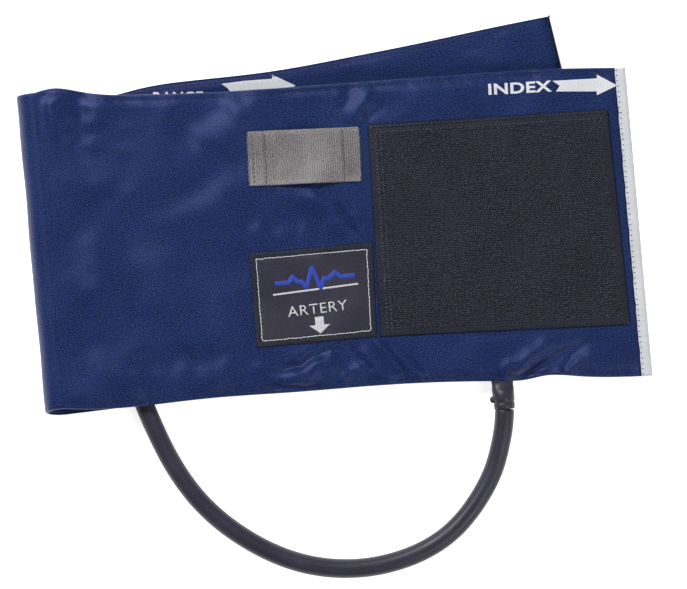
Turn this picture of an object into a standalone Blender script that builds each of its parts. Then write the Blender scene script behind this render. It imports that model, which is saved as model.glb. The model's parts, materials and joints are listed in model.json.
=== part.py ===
"""An adult blood pressure cuff, folded in two and lying on a table with its air tube in a loop.

Metres, +Z up, and the table is z = 0. X runs along the cuff from its fold (-X) to its index end
(+X), and Y runs across it. The tail leaf lies on the table. The bladder leaf lies over it and
turns about the fold, and its outer face rises from its inner face as the bladder fills.

Points in the plan are given on the table. on_leaf() turns them into the leaf's own frame, whose x
runs from the fold's axis into the leaf, y along the fold and z through the leaf's thickness.
"""

import math

import bmesh
import bpy
import numpy as np
from mathutils import Matrix, Vector

# Clearance between sheets that lie on each other.
GAP = 0.0003

# The fold: a half turn of cloth, and the hinge axis a little outside the centre of that turn.
FOLD_MIDDLE = Vector((-0.1371, -0.0185))
FOLD_LEAN = math.radians(5.2)
FOLD_HALF_LENGTH = 0.0746
FOLD_RADIUS = 0.0090
FOLD_CENTRE = 0.0025
FOLD_LIFT = 0.0001
LEAF_START = FOLD_CENTRE + GAP
LEAF_TILT = math.radians(2.27)

# Sheet thicknesses.
CLOTH = 0.0006
BLADDER_SHEET = 0.0005
BLADDER_AIR = 0.0004
HOOK_THICKNESS = 0.0014
LOOP_THICKNESS = 0.0009
LABEL_THICKNESS = 0.0004
THREAD = 0.0004
THREAD_WIDTH = 0.0008

# The hook and loop tapes' plain border, where they are sewn down: its width, its share of the
# tape's thickness and how far in its stitches run.
TAPE_BORDER = 0.0026
TAPE_BORDER_SHARE = 0.5
TAPE_SEAM_INSET = 0.0009

# The bladder leaf's layers, as heights in the leaf's frame, counted down from its outer face.
LEAF_TOP = FOLD_RADIUS
OUTER_BOTTOM = LEAF_TOP - CLOTH
UPPER_SHEET_BOTTOM = OUTER_BOTTOM - GAP - BLADDER_SHEET
LOWER_SHEET_BOTTOM = UPPER_SHEET_BOTTOM - BLADDER_AIR - BLADDER_SHEET
INNER_BOTTOM = LOWER_SHEET_BOTTOM - GAP - CLOTH
POCKET_MIDDLE = (OUTER_BOTTOM + INNER_BOTTOM + CLOTH) / 2

# The tail's layers, as heights above the table.
TAIL_INNER_BOTTOM = CLOTH + GAP
TAIL_TOP = TAIL_INNER_BOTTOM + CLOTH

# Corners in the plan. The tail leaf ends at the upper right, clear of the bladder leaf's edge.
TAIL_END = ((0.0997, 0.0940), (0.1340, -0.0470))
TAIL_HEM = 0.0095
SEAM_INSET = 0.0030
INDEX_END = ((0.1308, 0.0695), (0.1437, -0.0757))
INDEX_WIDTH = 0.0050
HOOK_CORNERS = ((0.0138, 0.0429), (0.1278, 0.0504), (0.1386, -0.0518), (0.0199, -0.0575))
LABEL_CORNERS = ((-0.0410, -0.0180), (0.0167, -0.0128), (0.0189, -0.0568), (-0.0376, -0.0622))
LOOP_CORNER = (0.0950, 0.0704)
LOOP_WIDTH = 0.1016
LOOP_LENGTH = 0.1700

# The bladder's plan, as its distance in from the leaf's edges.
BLADDER_FROM_FOLD = 0.0240
BLADDER_FROM_INDEX = 0.0200
BLADDER_FROM_EDGE = 0.0115
ROUND_CORNER = 0.0080
SMALL_CORNER = 0.0020

# The gauge strap: webbing sewn down at both ends, with room for a gauge's clip under its middle.
STRAP_CENTRE = (-0.0154, 0.0275)
STRAP_TURN = math.radians(2.6)
STRAP_LENGTH = 0.0517
STRAP_WIDTH = 0.0257
STRAP_THICKNESS = 0.0013
STRAP_BOW = 0.0020
STRAP_SEAM = 0.0075
STRAP_STEPS = 11

# The port moulded into the bladder: position along it, half width, half height and drop, in turn.
PORT_START = (0.0799, -0.0691)
PORT_DIRECTION = math.radians(-92.3)
PORT_SECTIONS = (
    (0.0000, 0.0100, 0.0007, 0.0000),
    (0.0088, 0.0085, 0.0007, 0.0000),
    (0.0116, 0.0066, 0.0007, 0.0000),
    (0.0142, 0.0053, 0.0052, 0.0014),
    (0.0180, 0.0053, 0.0053, 0.0014),
    (0.0212, 0.0049, 0.0049, 0.0014),
)
PORT_SIDES = 20

# The air tube, as points on its centreline from the port to its connector.
TUBE_RADIUS = 0.0045
TUBE_SPACING = 0.0180
TUBE_ROUTE = (
    (0.0790, -0.0909, 0.0067),
    (0.0786, -0.0980, 0.0064),
    (0.0772, -0.1070, 0.0056),
    (0.0740, -0.1190, 0.0047),
    (0.0667, -0.1334, 0.0046),
    (0.0532, -0.1494, 0.0046),
    (0.0298, -0.1620, 0.0046),
    (0.0040, -0.1660, 0.0046),
    (-0.0185, -0.1628, 0.0046),
    (-0.0424, -0.1520, 0.0046),
    (-0.0640, -0.1345, 0.0046),
    (-0.0780, -0.1150, 0.0052),
    (-0.0870, -0.0965, 0.0063),
    (-0.0945, -0.0780, 0.0069),
    (-0.1008, -0.0600, 0.0069),
    (-0.1062, -0.0400, 0.0069),
    (-0.1105, -0.0180, 0.0069),
    (-0.1138, 0.0040, 0.0069),
    (-0.1160, 0.0240, 0.0069),
)

# The connector's outside and bore: distance from the tube's end, and radius.
CONNECTOR_PROFILE = (
    (0.0003, 0.0044),
    (0.0050, 0.0044),
    (0.0050, 0.0050),
    (0.0095, 0.0050),
    (0.0095, 0.0024),
    (0.0200, 0.0020),
    (0.0200, 0.0012),
    (0.0003, 0.0012),
)
CONNECTOR_SIDES = 20

# The stitched arrow on the label that points to the artery mark's edge.
ARROW_CENTRE = (-0.0080, -0.0515)
ARROW_TURN = math.radians(4.5)
ARROW_SHAFT = 0.0026
ARROW_HEAD = 0.0050
ARROW_LENGTH = 0.0080

# Finishes: colour as sRGB 0 to 255, and roughness.
NAVY_NYLON = ("navy_nylon", (33, 52, 94), 0.75)
DARK_HOOK = ("hook_tape", (42, 44, 56), 0.85)
DARK_LOOP = ("loop_tape", (38, 36, 38), 0.95)
GREY_WEBBING = ("grey_webbing", (138, 134, 136), 0.80)
LABEL_SATIN = ("label_satin", (66, 65, 80), 0.50)
WHITE_TAPE = ("white_tape", (214, 215, 220), 0.70)
WHITE_THREAD = ("white_thread", (214, 214, 222), 0.60)
NAVY_THREAD = ("navy_thread", (24, 36, 74), 0.70)
GREY_THREAD = ("grey_thread", (108, 104, 112), 0.70)
TUBE_RUBBER = ("tube_rubber", (65, 64, 79), 0.45)
BLADDER_FILM = ("bladder_film", (58, 60, 66), 0.40)
CONNECTOR_PLASTIC = ("connector_plastic", (205, 207, 208), 0.35)


def clear_scene():
    for obj in list(bpy.data.objects):
        bpy.data.objects.remove(obj, do_unlink=True)


def finish_of(name, finish):
    """A material of its own for one object, in the finish's colour and roughness."""
    label, colour, roughness = finish
    material = bpy.data.materials.new(f"{name}_{label}")
    material.use_nodes = True
    shader = material.node_tree.nodes["Principled BSDF"]
    linear = [((channel / 255 + 0.055) / 1.055) ** 2.4 for channel in colour]
    shader.inputs["Base Color"].default_value = (*linear, 1.0)
    shader.inputs["Roughness"].default_value = roughness
    shader.inputs["Metallic"].default_value = 0.0
    return material


def place(name, data, finish, parent):
    """The object that holds this mesh or curve, in its parent's frame."""
    data.materials.append(finish_of(name, finish))
    obj = bpy.data.objects.new(name, data)
    bpy.context.scene.collection.objects.link(obj)
    obj.parent = parent
    return obj


def frame_at(name, location, rotation, parent=None):
    """An empty that holds the pieces of one body."""
    empty = bpy.data.objects.new(name, None)
    bpy.context.scene.collection.objects.link(empty)
    empty.location = location
    empty.rotation_euler = rotation
    empty.parent = parent
    return empty


def skin(name, loops, finish, parent, joined=False, smooth=False):
    """A closed solid through equal loops of points: capped at both ends, or joined end to end."""
    mesh = bpy.data.meshes.new(name)
    work = bmesh.new()
    rings = [[work.verts.new(point) for point in loop] for loop in loops]
    pairs = list(zip(rings, rings[1:]))
    if joined:
        pairs.append((rings[-1], rings[0]))
    else:
        work.faces.new(rings[0])
        work.faces.new(rings[-1])
    for low, high in pairs:
        for i in range(len(low)):
            j = (i + 1) % len(low)
            work.faces.new((low[i], low[j], high[j], high[i]))
    bmesh.ops.recalc_face_normals(work, faces=work.faces)
    work.to_mesh(mesh)
    work.free()
    if smooth:
        mesh.shade_smooth()
        mesh.set_sharp_from_angle(angle=math.radians(35))
    return place(name, mesh, finish, parent)


def at_height(outline, height):
    return [(x, y, height) for x, y in outline]


def plate(name, outline, bottom, thickness, finish, parent):
    """A flat sheet with this outline."""
    loops = [at_height(outline, bottom), at_height(outline, bottom + thickness)]
    return skin(name, loops, finish, parent)


def on_leaf(x, y):
    """A point of the table's plan, in the leaf's frame."""
    across = Vector((math.cos(FOLD_LEAN), math.sin(FOLD_LEAN)))
    along = Vector((-math.sin(FOLD_LEAN), math.cos(FOLD_LEAN)))
    step = Vector((x, y)) - FOLD_MIDDLE
    return step.dot(across), step.dot(along)


def on_table(x, y):
    """A point of the leaf's frame, in the table's plan."""
    turn = Matrix.Rotation(FOLD_LEAN, 2)
    point = FOLD_MIDDLE + turn @ Vector((x, y))
    return point.x, point.y


def rounded(corners, radius, steps=4):
    """The outline with each corner replaced by an arc that touches both of its edges."""
    points = []
    count = len(corners)
    for i in range(count):
        here = Vector(corners[i])
        back = (Vector(corners[i - 1]) - here).normalized()
        ahead = (Vector(corners[(i + 1) % count]) - here).normalized()
        half = back.angle(ahead) / 2
        centre = here + (back + ahead).normalized() * (radius / math.sin(half))
        first = here + back * (radius / math.tan(half)) - centre
        last = here + ahead * (radius / math.tan(half)) - centre
        sweep = first.angle_signed(last)
        for step in range(steps + 1):
            turned = Matrix.Rotation(-sweep * step / steps, 2) @ first
            points.append(tuple(centre + turned))
    return points


def inset(corners, distance):
    """The convex outline moved inwards by this distance on every side."""
    middle = sum((Vector(corner) for corner in corners), Vector((0, 0))) / len(corners)
    moved = []
    for i, corner in enumerate(corners):
        here = Vector(corner)
        back = (Vector(corners[i - 1]) - here).normalized()
        ahead = (Vector(corners[(i + 1) % len(corners)]) - here).normalized()
        inward = (back + ahead).normalized()
        inward *= 1 if inward.dot(middle - here) > 0 else -1
        moved.append(tuple(here + inward * (distance / math.sin(back.angle(ahead) / 2))))
    return moved


def thread_ring(name, corners, distance, bottom, finish, parent):
    """A line of stitches all round a patch, at this distance inside its edge."""
    outer = inset(corners, distance)
    inner = inset(corners, distance + THREAD_WIDTH)
    top = bottom + THREAD
    loops = [
        at_height(outer, bottom),
        at_height(outer, top),
        at_height(inner, top),
        at_height(inner, bottom),
    ]
    return skin(name, loops, finish, parent, joined=True)


def sewn_tape(name, corners, bottom, thickness, finish, parent):
    """A patch of hook or loop tape: the raised field, the lower border round it and its stitches."""
    outside = rounded(corners, SMALL_CORNER)
    field = rounded(inset(corners, TAPE_BORDER), SMALL_CORNER)
    border = bottom + thickness * TAPE_BORDER_SHARE
    loops = [
        at_height(outside, bottom),
        at_height(outside, border),
        at_height(field, border),
        at_height(field, bottom + thickness),
    ]
    skin(name, loops, finish, parent)
    thread_ring(f"{name}_seam", corners, TAPE_SEAM_INSET, border + GAP, NAVY_THREAD, parent)


def thread_line(name, start, end, bottom, finish, parent):
    """A straight line of stitches."""
    start = Vector(start)
    end = Vector(end)
    along = (end - start).normalized()
    side = Vector((-along.y, along.x)) * THREAD_WIDTH / 2
    outline = [tuple(point) for point in (start - side, end - side, end + side, start + side)]
    return plate(name, outline, bottom, THREAD, finish, parent)


def inset_line(start, end, inward, distance, trim):
    """The line from start to end, moved inwards and shortened at both ends."""
    start = Vector(start)
    end = Vector(end)
    along = (end - start).normalized()
    side = Vector((-along.y, along.x)) * (distance * inward)
    return start + side + along * trim, end + side - along * trim


def along_line(start, end, share):
    return tuple(Vector(start).lerp(Vector(end), share))


def arc_bar(name, radius, middle_height, finish):
    """The half turn of cloth at the fold, from the tail's sheet up to the leaf's."""
    count = 14
    first = math.radians(-90)
    last = math.radians(-270) + LEAF_TILT
    profile = []
    for edge in (radius, radius - CLOTH):
        turns = np.linspace(first, last, count)
        points = [(FOLD_CENTRE + edge * math.cos(turn), edge * math.sin(turn)) for turn in turns]
        profile += points if edge == radius else points[::-1]
    fold = frame_at(f"{name}_frame", (*FOLD_MIDDLE, middle_height), (0, 0, FOLD_LEAN))
    loops = [[(x, y, z) for x, z in profile] for y in (-FOLD_HALF_LENGTH, FOLD_HALF_LENGTH)]
    return skin(name, loops, finish, fold, smooth=True)


def tail_outline():
    """The tail leaf's corners: the fold's two, then the end's two."""
    return [
        on_table(LEAF_START, FOLD_HALF_LENGTH),
        on_table(LEAF_START, -FOLD_HALF_LENGTH),
        TAIL_END[1],
        TAIL_END[0],
    ]


def loop_outline():
    """The loop patch, square to the tail's end and up against its hem."""
    end = (Vector(TAIL_END[1]) - Vector(TAIL_END[0])).normalized()
    top = (Vector(TAIL_END[0]) - Vector(on_table(LEAF_START, FOLD_HALF_LENGTH))).normalized()
    corner = Vector(LOOP_CORNER)
    across = end * LOOP_WIDTH
    back = top * -LOOP_LENGTH
    return [tuple(point) for point in (corner, corner + back, corner + back + across, corner + across)]


def build_tail():
    """The leaf that lies on the table: two sheets, the loop patch and the seams."""
    tail = frame_at("tail_frame", (0, 0, 0), (0, 0, 0))
    outline = tail_outline()
    fold_top, fold_bottom, end_bottom, end_top = outline
    plate("outer_panel_tail", outline, 0, CLOTH, NAVY_NYLON, tail)
    plate("inner_panel_tail", outline, TAIL_INNER_BOTTOM, CLOTH, NAVY_NYLON, tail)

    face = TAIL_TOP + GAP
    top_seam = inset_line(fold_top, end_top, -1, SEAM_INSET, 0.004)
    bottom_seam = inset_line(fold_bottom, end_bottom, 1, SEAM_INSET, 0.004)
    hem_seam = inset_line(end_top, end_bottom, -1, TAIL_HEM, 0.0045)
    thread_line("tail_seam_top", top_seam[0], along_line(*top_seam, 0.955), face, NAVY_THREAD, tail)
    thread_line("tail_seam_bottom", bottom_seam[0], along_line(*bottom_seam, 0.955), face, NAVY_THREAD, tail)
    thread_line("tail_hem_seam", *hem_seam, face, NAVY_THREAD, tail)

    sewn_tape("loop_patch", loop_outline(), face, LOOP_THICKNESS, DARK_LOOP, tail)


def build_fold():
    """The two layers of cloth that turn the fold between the leaves."""
    arc_bar("fold_web_outer", FOLD_RADIUS - FOLD_LIFT, FOLD_RADIUS, NAVY_NYLON)
    leaf_inner_top = FOLD_RADIUS + INNER_BOTTOM + CLOTH
    radius = (leaf_inner_top - TAIL_INNER_BOTTOM) / 2 - FOLD_LIFT
    arc_bar("fold_web_inner", radius, TAIL_INNER_BOTTOM + FOLD_LIFT + radius, NAVY_NYLON)


def leaf_outline():
    """The bladder leaf's panel in its own frame: the fold's two corners, then the index end's two."""
    return [
        (LEAF_START, FOLD_HALF_LENGTH),
        (LEAF_START, -FOLD_HALF_LENGTH),
        on_leaf(*INDEX_END[1]),
        on_leaf(*INDEX_END[0]),
    ]


def bladder_outline():
    """The bladder's sheets, set in from the panel's edges."""
    fold_top, fold_bottom, end_bottom, end_top = leaf_outline()
    length = end_top[0] - fold_top[0]
    start = (BLADDER_FROM_FOLD - LEAF_START) / length
    stop = 1 - BLADDER_FROM_INDEX / length
    inward = Vector((0, BLADDER_FROM_EDGE))
    corners = [
        Vector(along_line(fold_top, end_top, start)) - inward,
        Vector(along_line(fold_bottom, end_bottom, start)) + inward,
        Vector(along_line(fold_bottom, end_bottom, stop)) + inward,
        Vector(along_line(fold_top, end_top, stop)) - inward,
    ]
    return rounded(corners, ROUND_CORNER)


def build_index_binding(leaf):
    """The white tape round the leaf's end, and the stitches that hold it."""
    top, bottom = (Vector(on_leaf(*corner)) for corner in INDEX_END)
    near = Vector((GAP, 0))
    far = Vector((INDEX_WIDTH, 0))
    outline = [top + near, bottom + near, bottom + far, top + far]
    thickness = LEAF_TOP - INNER_BOTTOM
    plate("index_binding", outline, INNER_BOTTOM, thickness, WHITE_TAPE, leaf)
    middle = Vector((INDEX_WIDTH / 2, 0))
    trim = Vector((0, 0.002))
    start = top + middle - trim
    end = bottom + middle + trim
    thread_line("binding_seam", start, end, LEAF_TOP + GAP, WHITE_THREAD, leaf)


def build_port(leaf):
    """The port: a flat flange in the bladder's pocket, and the round neck that the tube joins."""
    x, y = on_leaf(*PORT_START)
    port = frame_at("port_frame", (x, y, POCKET_MIDDLE), (0, 0, PORT_DIRECTION - FOLD_LEAN), leaf)
    loops = []
    for place_along, half_width, half_height, drop in PORT_SECTIONS:
        turns = [math.tau * i / PORT_SIDES for i in range(PORT_SIDES)]
        loops.append(
            [
                (place_along, half_width * math.cos(turn), half_height * math.sin(turn) - drop)
                for turn in turns
            ]
        )
    skin("port_neck", loops, TUBE_RUBBER, port, smooth=True)


def natural_curve(route):
    """A function of arc length through the route's points, smooth in slope and curvature."""
    points = np.array(route)
    knots = np.concatenate([[0], np.cumsum(np.linalg.norm(np.diff(points, axis=0), axis=1))])
    steps = np.diff(knots)
    slopes = np.diff(points, axis=0) / steps[:, None]
    count = len(points)
    matrix = np.eye(count)
    right = np.zeros_like(points)
    for i in range(1, count - 1):
        matrix[i, i - 1 : i + 2] = steps[i - 1], 2 * (steps[i - 1] + steps[i]), steps[i]
        right[i] = 6 * (slopes[i] - slopes[i - 1])
    bends = np.linalg.solve(matrix, right)

    def point_at(distance):
        i = min(max(int(np.searchsorted(knots, distance)) - 1, 0), count - 2)
        before = knots[i + 1] - distance
        after = distance - knots[i]
        step = steps[i]
        return (
            (bends[i] * before**3 + bends[i + 1] * after**3) / (6 * step)
            + (points[i] / step - bends[i] * step / 6) * before
            + (points[i + 1] / step - bends[i + 1] * step / 6) * after
        )

    return point_at, knots[-1]


def build_tube():
    """The air tube, and the push-in connector on its free end."""
    point_at, length = natural_curve(TUBE_ROUTE)
    count = round(length / TUBE_SPACING) + 1
    points = [point_at(length * i / (count - 1)) for i in range(count)]
    curve = bpy.data.curves.new("air_tube", "CURVE")
    curve.dimensions = "3D"
    curve.bevel_depth = TUBE_RADIUS
    curve.bevel_resolution = 3
    curve.use_fill_caps = True
    spline = curve.splines.new("POLY")
    spline.points.add(count - 1)
    for target, point in zip(spline.points, points):
        target.co = (*point, 1.0)
    place("air_tube", curve, TUBE_RUBBER, None)

    end = Vector(points[-1])
    direction = end - Vector(points[-2])
    connector = frame_at("connector_frame", end, (0, 0, math.atan2(direction.y, direction.x)))
    loops = []
    for distance, radius in CONNECTOR_PROFILE:
        turns = [math.tau * i / CONNECTOR_SIDES for i in range(CONNECTOR_SIDES)]
        loops.append([(distance, radius * math.cos(turn), radius * math.sin(turn)) for turn in turns])
    skin("tube_connector", loops, CONNECTOR_PLASTIC, connector, joined=True, smooth=True)


def build_leaf(leaf):
    """The bladder leaf's fixed side: the arm-side panel, the bladder's lower sheet and the seams."""
    outline = leaf_outline()
    fold_top, fold_bottom, end_bottom, end_top = outline
    plate("inner_panel_front", outline, INNER_BOTTOM, CLOTH, NAVY_NYLON, leaf)
    plate("bladder_lower_sheet", bladder_outline(), LOWER_SHEET_BOTTOM, BLADDER_SHEET, BLADDER_FILM, leaf)
    under = INNER_BOTTOM - GAP - THREAD
    top_seam = inset_line(fold_top, end_top, -1, SEAM_INSET, 0.004)
    bottom_seam = inset_line(fold_bottom, end_bottom, 1, SEAM_INSET, 0.004)
    thread_line("leaf_seam_top", *top_seam, under, NAVY_THREAD, leaf)
    thread_line("leaf_seam_bottom", *bottom_seam, under, NAVY_THREAD, leaf)
    build_index_binding(leaf)
    build_port(leaf)
    build_tube()


def build_gauge_strap(face):
    """The webbing loop for the gauge's clip: flat at its sewn ends, bowed between them."""
    x, y = on_leaf(*STRAP_CENTRE)
    strap = frame_at("strap_frame", (x, y, LEAF_TOP + GAP), (0, 0, STRAP_TURN - FOLD_LEAN), face)
    half = STRAP_LENGTH / 2
    free = half - STRAP_SEAM
    spans = [-half] + list(np.linspace(-free, free, STRAP_STEPS + 1)) + [half]
    rise = [STRAP_BOW * (1 + math.cos(math.pi * min(abs(s) / free, 1))) / 2 for s in spans]
    lower = [(s, height) for s, height in zip(spans, rise)]
    upper = [(s, height + STRAP_THICKNESS) for s, height in zip(spans, rise)]
    profile = lower + upper[::-1]
    loops = [[(s, side, height) for s, height in profile] for side in (-STRAP_WIDTH / 2, STRAP_WIDTH / 2)]
    skin("gauge_strap", loops, GREY_WEBBING, strap, smooth=True)
    seam_x = half - STRAP_SEAM / 2
    seam_y = STRAP_WIDTH / 2 - 0.0012
    height = STRAP_THICKNESS + GAP
    for side, at in (("left", -seam_x), ("right", seam_x)):
        thread_line(f"gauge_strap_seam_{side}", (at, -seam_y), (at, seam_y), height, GREY_THREAD, strap)


def build_label(face):
    """The sewn label: its border of stitches and the stitched arrow."""
    corners = [on_leaf(*corner) for corner in LABEL_CORNERS]
    bottom = LEAF_TOP + GAP
    plate("label_patch", corners, bottom, LABEL_THICKNESS, LABEL_SATIN, face)
    over = bottom + LABEL_THICKNESS + GAP
    thread_ring("label_border_thread", corners, 0.0008, over, WHITE_THREAD, face)
    x, y = on_leaf(*ARROW_CENTRE)
    arrow = frame_at("arrow_frame", (x, y, 0), (0, 0, ARROW_TURN - FOLD_LEAN), face)
    half = ARROW_LENGTH / 2
    outline = [
        (-ARROW_SHAFT, half),
        (-ARROW_SHAFT, 0),
        (-ARROW_HEAD, 0),
        (0, -half),
        (ARROW_HEAD, 0),
        (ARROW_SHAFT, 0),
        (ARROW_SHAFT, half),
    ]
    plate("label_arrow", outline, over, THREAD, WHITE_THREAD, arrow)


def build_swell_face(face):
    """The side that rises as the bladder fills: its upper sheet, the outer panel and what is sewn on."""
    plate("bladder_upper_sheet", bladder_outline(), UPPER_SHEET_BOTTOM, BLADDER_SHEET, BLADDER_FILM, face)
    plate("outer_panel_front", leaf_outline(), OUTER_BOTTOM, CLOTH, NAVY_NYLON, face)
    corners = [on_leaf(*corner) for corner in HOOK_CORNERS]
    sewn_tape("hook_patch", corners, LEAF_TOP + GAP, HOOK_THICKNESS, DARK_HOOK, face)
    build_gauge_strap(face)
    build_label(face)


def main():
    clear_scene()
    leaf = frame_at("bladder_leaf_frame", (*FOLD_MIDDLE, FOLD_RADIUS), (0, LEAF_TILT, FOLD_LEAN))
    face = frame_at("swell_face_frame", (0, 0, 0), (0, 0, 0), leaf)
    build_tail()
    build_fold()
    build_leaf(leaf)
    build_swell_face(face)


if __name__ == "__main__":
    main()
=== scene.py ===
"""The looks of an adult blood pressure cuff, folded in two with its air tube in a loop beside it.

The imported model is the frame. Places and sizes come from its nodes and joints, and the rest are
sewing measures, named where they are used. Metres, +Z up, and the table is z = 0. A point of the
bladder leaf is given in the leaf's own axes: x into the leaf from the fold, y along the fold
and z out of the leaf's face.
"""

import json
import logging
import math
from collections.abc import Callable, Sequence
from dataclasses import dataclass, field
from enum import Enum

import bmesh
import bpy
import numpy as np
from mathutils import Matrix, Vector


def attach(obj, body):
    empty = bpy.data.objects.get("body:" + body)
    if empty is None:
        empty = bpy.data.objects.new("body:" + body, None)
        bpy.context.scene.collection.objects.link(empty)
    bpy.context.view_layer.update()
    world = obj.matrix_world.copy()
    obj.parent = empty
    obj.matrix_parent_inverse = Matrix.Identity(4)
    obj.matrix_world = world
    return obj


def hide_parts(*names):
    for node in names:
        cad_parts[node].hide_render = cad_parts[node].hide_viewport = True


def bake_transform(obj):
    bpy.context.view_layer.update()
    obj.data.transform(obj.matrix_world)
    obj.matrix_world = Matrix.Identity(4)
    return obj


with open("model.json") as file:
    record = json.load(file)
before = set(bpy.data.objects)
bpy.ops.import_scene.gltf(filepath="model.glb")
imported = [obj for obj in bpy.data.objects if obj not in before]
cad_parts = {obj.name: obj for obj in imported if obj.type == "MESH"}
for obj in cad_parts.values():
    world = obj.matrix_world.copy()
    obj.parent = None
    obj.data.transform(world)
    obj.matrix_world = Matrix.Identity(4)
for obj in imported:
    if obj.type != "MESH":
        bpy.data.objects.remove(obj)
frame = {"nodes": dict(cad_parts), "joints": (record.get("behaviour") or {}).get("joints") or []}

log = logging.getLogger("cuff")

Array = np.ndarray
Plan = tuple[float, float]
Place = tuple[float, float, float]
Piece = bpy.types.Object
Tree = bpy.types.NodeTree
Socket = bpy.types.NodeSocket
Lay = Callable[[Array], Array]
Ring = tuple[Array, Array, float, float]

CLOTH = 0.0005
STRAP_SEWN = 0.0075


class Body(Enum):
    """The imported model's bodies."""

    TAIL = "tail_leaf"
    LEAF = "bladder_leaf"
    FACE = "swell_face"


# ---- Numbers and curves ----


def smooth(share: Array | float) -> Array:
    """Rises from 0 to 1 with level ends, as its argument goes from 0 to 1."""
    t = np.clip(share, 0.0, 1.0)
    return t * t * (3 - 2 * t)


def blend_of(low: Array | float, high: Array | float, share: Array | float) -> Array:
    """The value this share of the way from low to high."""
    return low + (high - low) * share


def unit(vector: Array) -> Array:
    """The same direction, one long."""
    return vector / np.linalg.norm(vector)


def as_given(points: Array) -> Array:
    """World places of points that are in the world already."""
    return points


def curve_through(knots: Sequence[float], values: Sequence) -> Lay:
    """A natural cubic through the values.

    Args:
        knots: Rising places of the values.
        values: One number or one point for each knot.

    Returns:
        A function from places to numbers or points.
    """
    at = np.asarray(knots, float)
    given = np.asarray(values, float)
    count = len(at)
    steps = np.diff(at)
    slopes = (np.diff(given, axis=0).T / steps).T
    matrix = np.eye(count)
    right = np.zeros_like(given)
    for i in range(1, count - 1):
        matrix[i, i - 1 : i + 2] = steps[i - 1], 2 * (steps[i - 1] + steps[i]), steps[i]
        right[i] = 6 * (slopes[i] - slopes[i - 1])
    bends = np.linalg.solve(matrix, right)

    def value_at(place: Array) -> Array:
        """The curve's value at each place."""
        place = np.asarray(place, float)
        i = np.clip(np.searchsorted(at, place) - 1, 0, count - 2)
        before, after, step = at[i + 1] - place, place - at[i], steps[i]
        if given.ndim > 1:
            before, after, step = before[..., None], after[..., None], step[..., None]
        cubic = (bends[i] * before**3 + bends[i + 1] * after**3) / (6 * step)
        left = (given[i] / step - bends[i] * step / 6) * before
        return cubic + left + (given[i + 1] / step - bends[i + 1] * step / 6) * after

    return value_at


def ripple(places: Array, pitch: float, seed: int) -> Array:
    """Uneven waves between -1 and 1, about this far apart."""
    rng = np.random.default_rng(seed)
    total = np.zeros_like(places)
    for share in (1.0, 0.62, 1.7):
        total += np.sin(places * math.tau / (pitch * share) + rng.uniform(0, math.tau))
    return total / 3


def along_polyline(points: Array, spacing: float) -> Array:
    """The same line with its points this far apart."""
    lengths = np.concatenate([[0], np.cumsum(np.linalg.norm(np.diff(points, axis=0), axis=1))])
    count = max(2, round(float(lengths[-1]) / spacing) + 1)
    at = np.linspace(0, lengths[-1], count)
    return np.stack([np.interp(at, lengths, points[:, k]) for k in range(points.shape[1])], 1)


# ---- The frame's axes and sizes ----


@dataclass(frozen=True)
class Axes:
    """A right-handed frame: where it stands, and its three directions as rows."""

    origin: Array
    rows: Array

    def to_world(self, points: Array) -> Array:
        """World places of points given in these axes."""
        return self.origin + points @ self.rows

    def to_local(self, points: Array) -> Array:
        """Places in these axes of points given in the world."""
        return (points - self.origin) @ self.rows.T

    def points_of(self, node: str) -> Array:
        """A node's points in these axes."""
        return self.to_local(np.array([v.co for v in frame["nodes"][node].data.vertices], float))

    def corners(self, node: str) -> Array:
        """The four plan corners of a flat node: fold top, fold bottom, end bottom, end top."""
        points = self.points_of(node)[:, :2]
        ways = ((-1, 1), (-1, -1), (1, -1), (1, 1))
        spread = np.ptp(points, axis=0)
        return np.array([points[np.argmax(points / spread @ np.array(way))] for way in ways])

    def span(self, node: str, axis: int) -> Plan:
        """The node's lowest and highest value along one of these axes."""
        values = self.points_of(node)[:, axis]
        return float(values.min()), float(values.max())


def make_axes() -> tuple[Axes, Axes]:
    """The leaf's axes, from the joints, and the same axes laid level on the table.

    Returns:
        The leaf's axes, with their origin on the fold's hinge, and the table's below them.
    """
    joints = {joint["name"]: joint for joint in frame["joints"]}
    hinge = joints["cuff_fold"]
    z = np.array(joints["bladder_swell"]["axis"], float)
    y = -np.array(hinge["axis"], float)
    y = unit(y)
    x = np.cross(y, unit(z))
    origin = np.array(hinge["pos_m"], float)
    up = np.array((0.0, 0.0, 1.0))
    level = np.cross(y, up)
    below = origin * np.array((1, 1, 0))
    return Axes(origin, np.stack([x, y, np.cross(x, y)])), Axes(below, np.stack([level, y, up]))


LEAF, TABLE = make_axes()
FOLD_CENTRE = 0.0025
FOLD_RADIUS = float(LEAF.origin[2])
LEAF_TOP = LEAF.span("outer_panel_front", 2)[1]
LEAF_TILT = math.acos(float(LEAF.rows[2, 2]))


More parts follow.
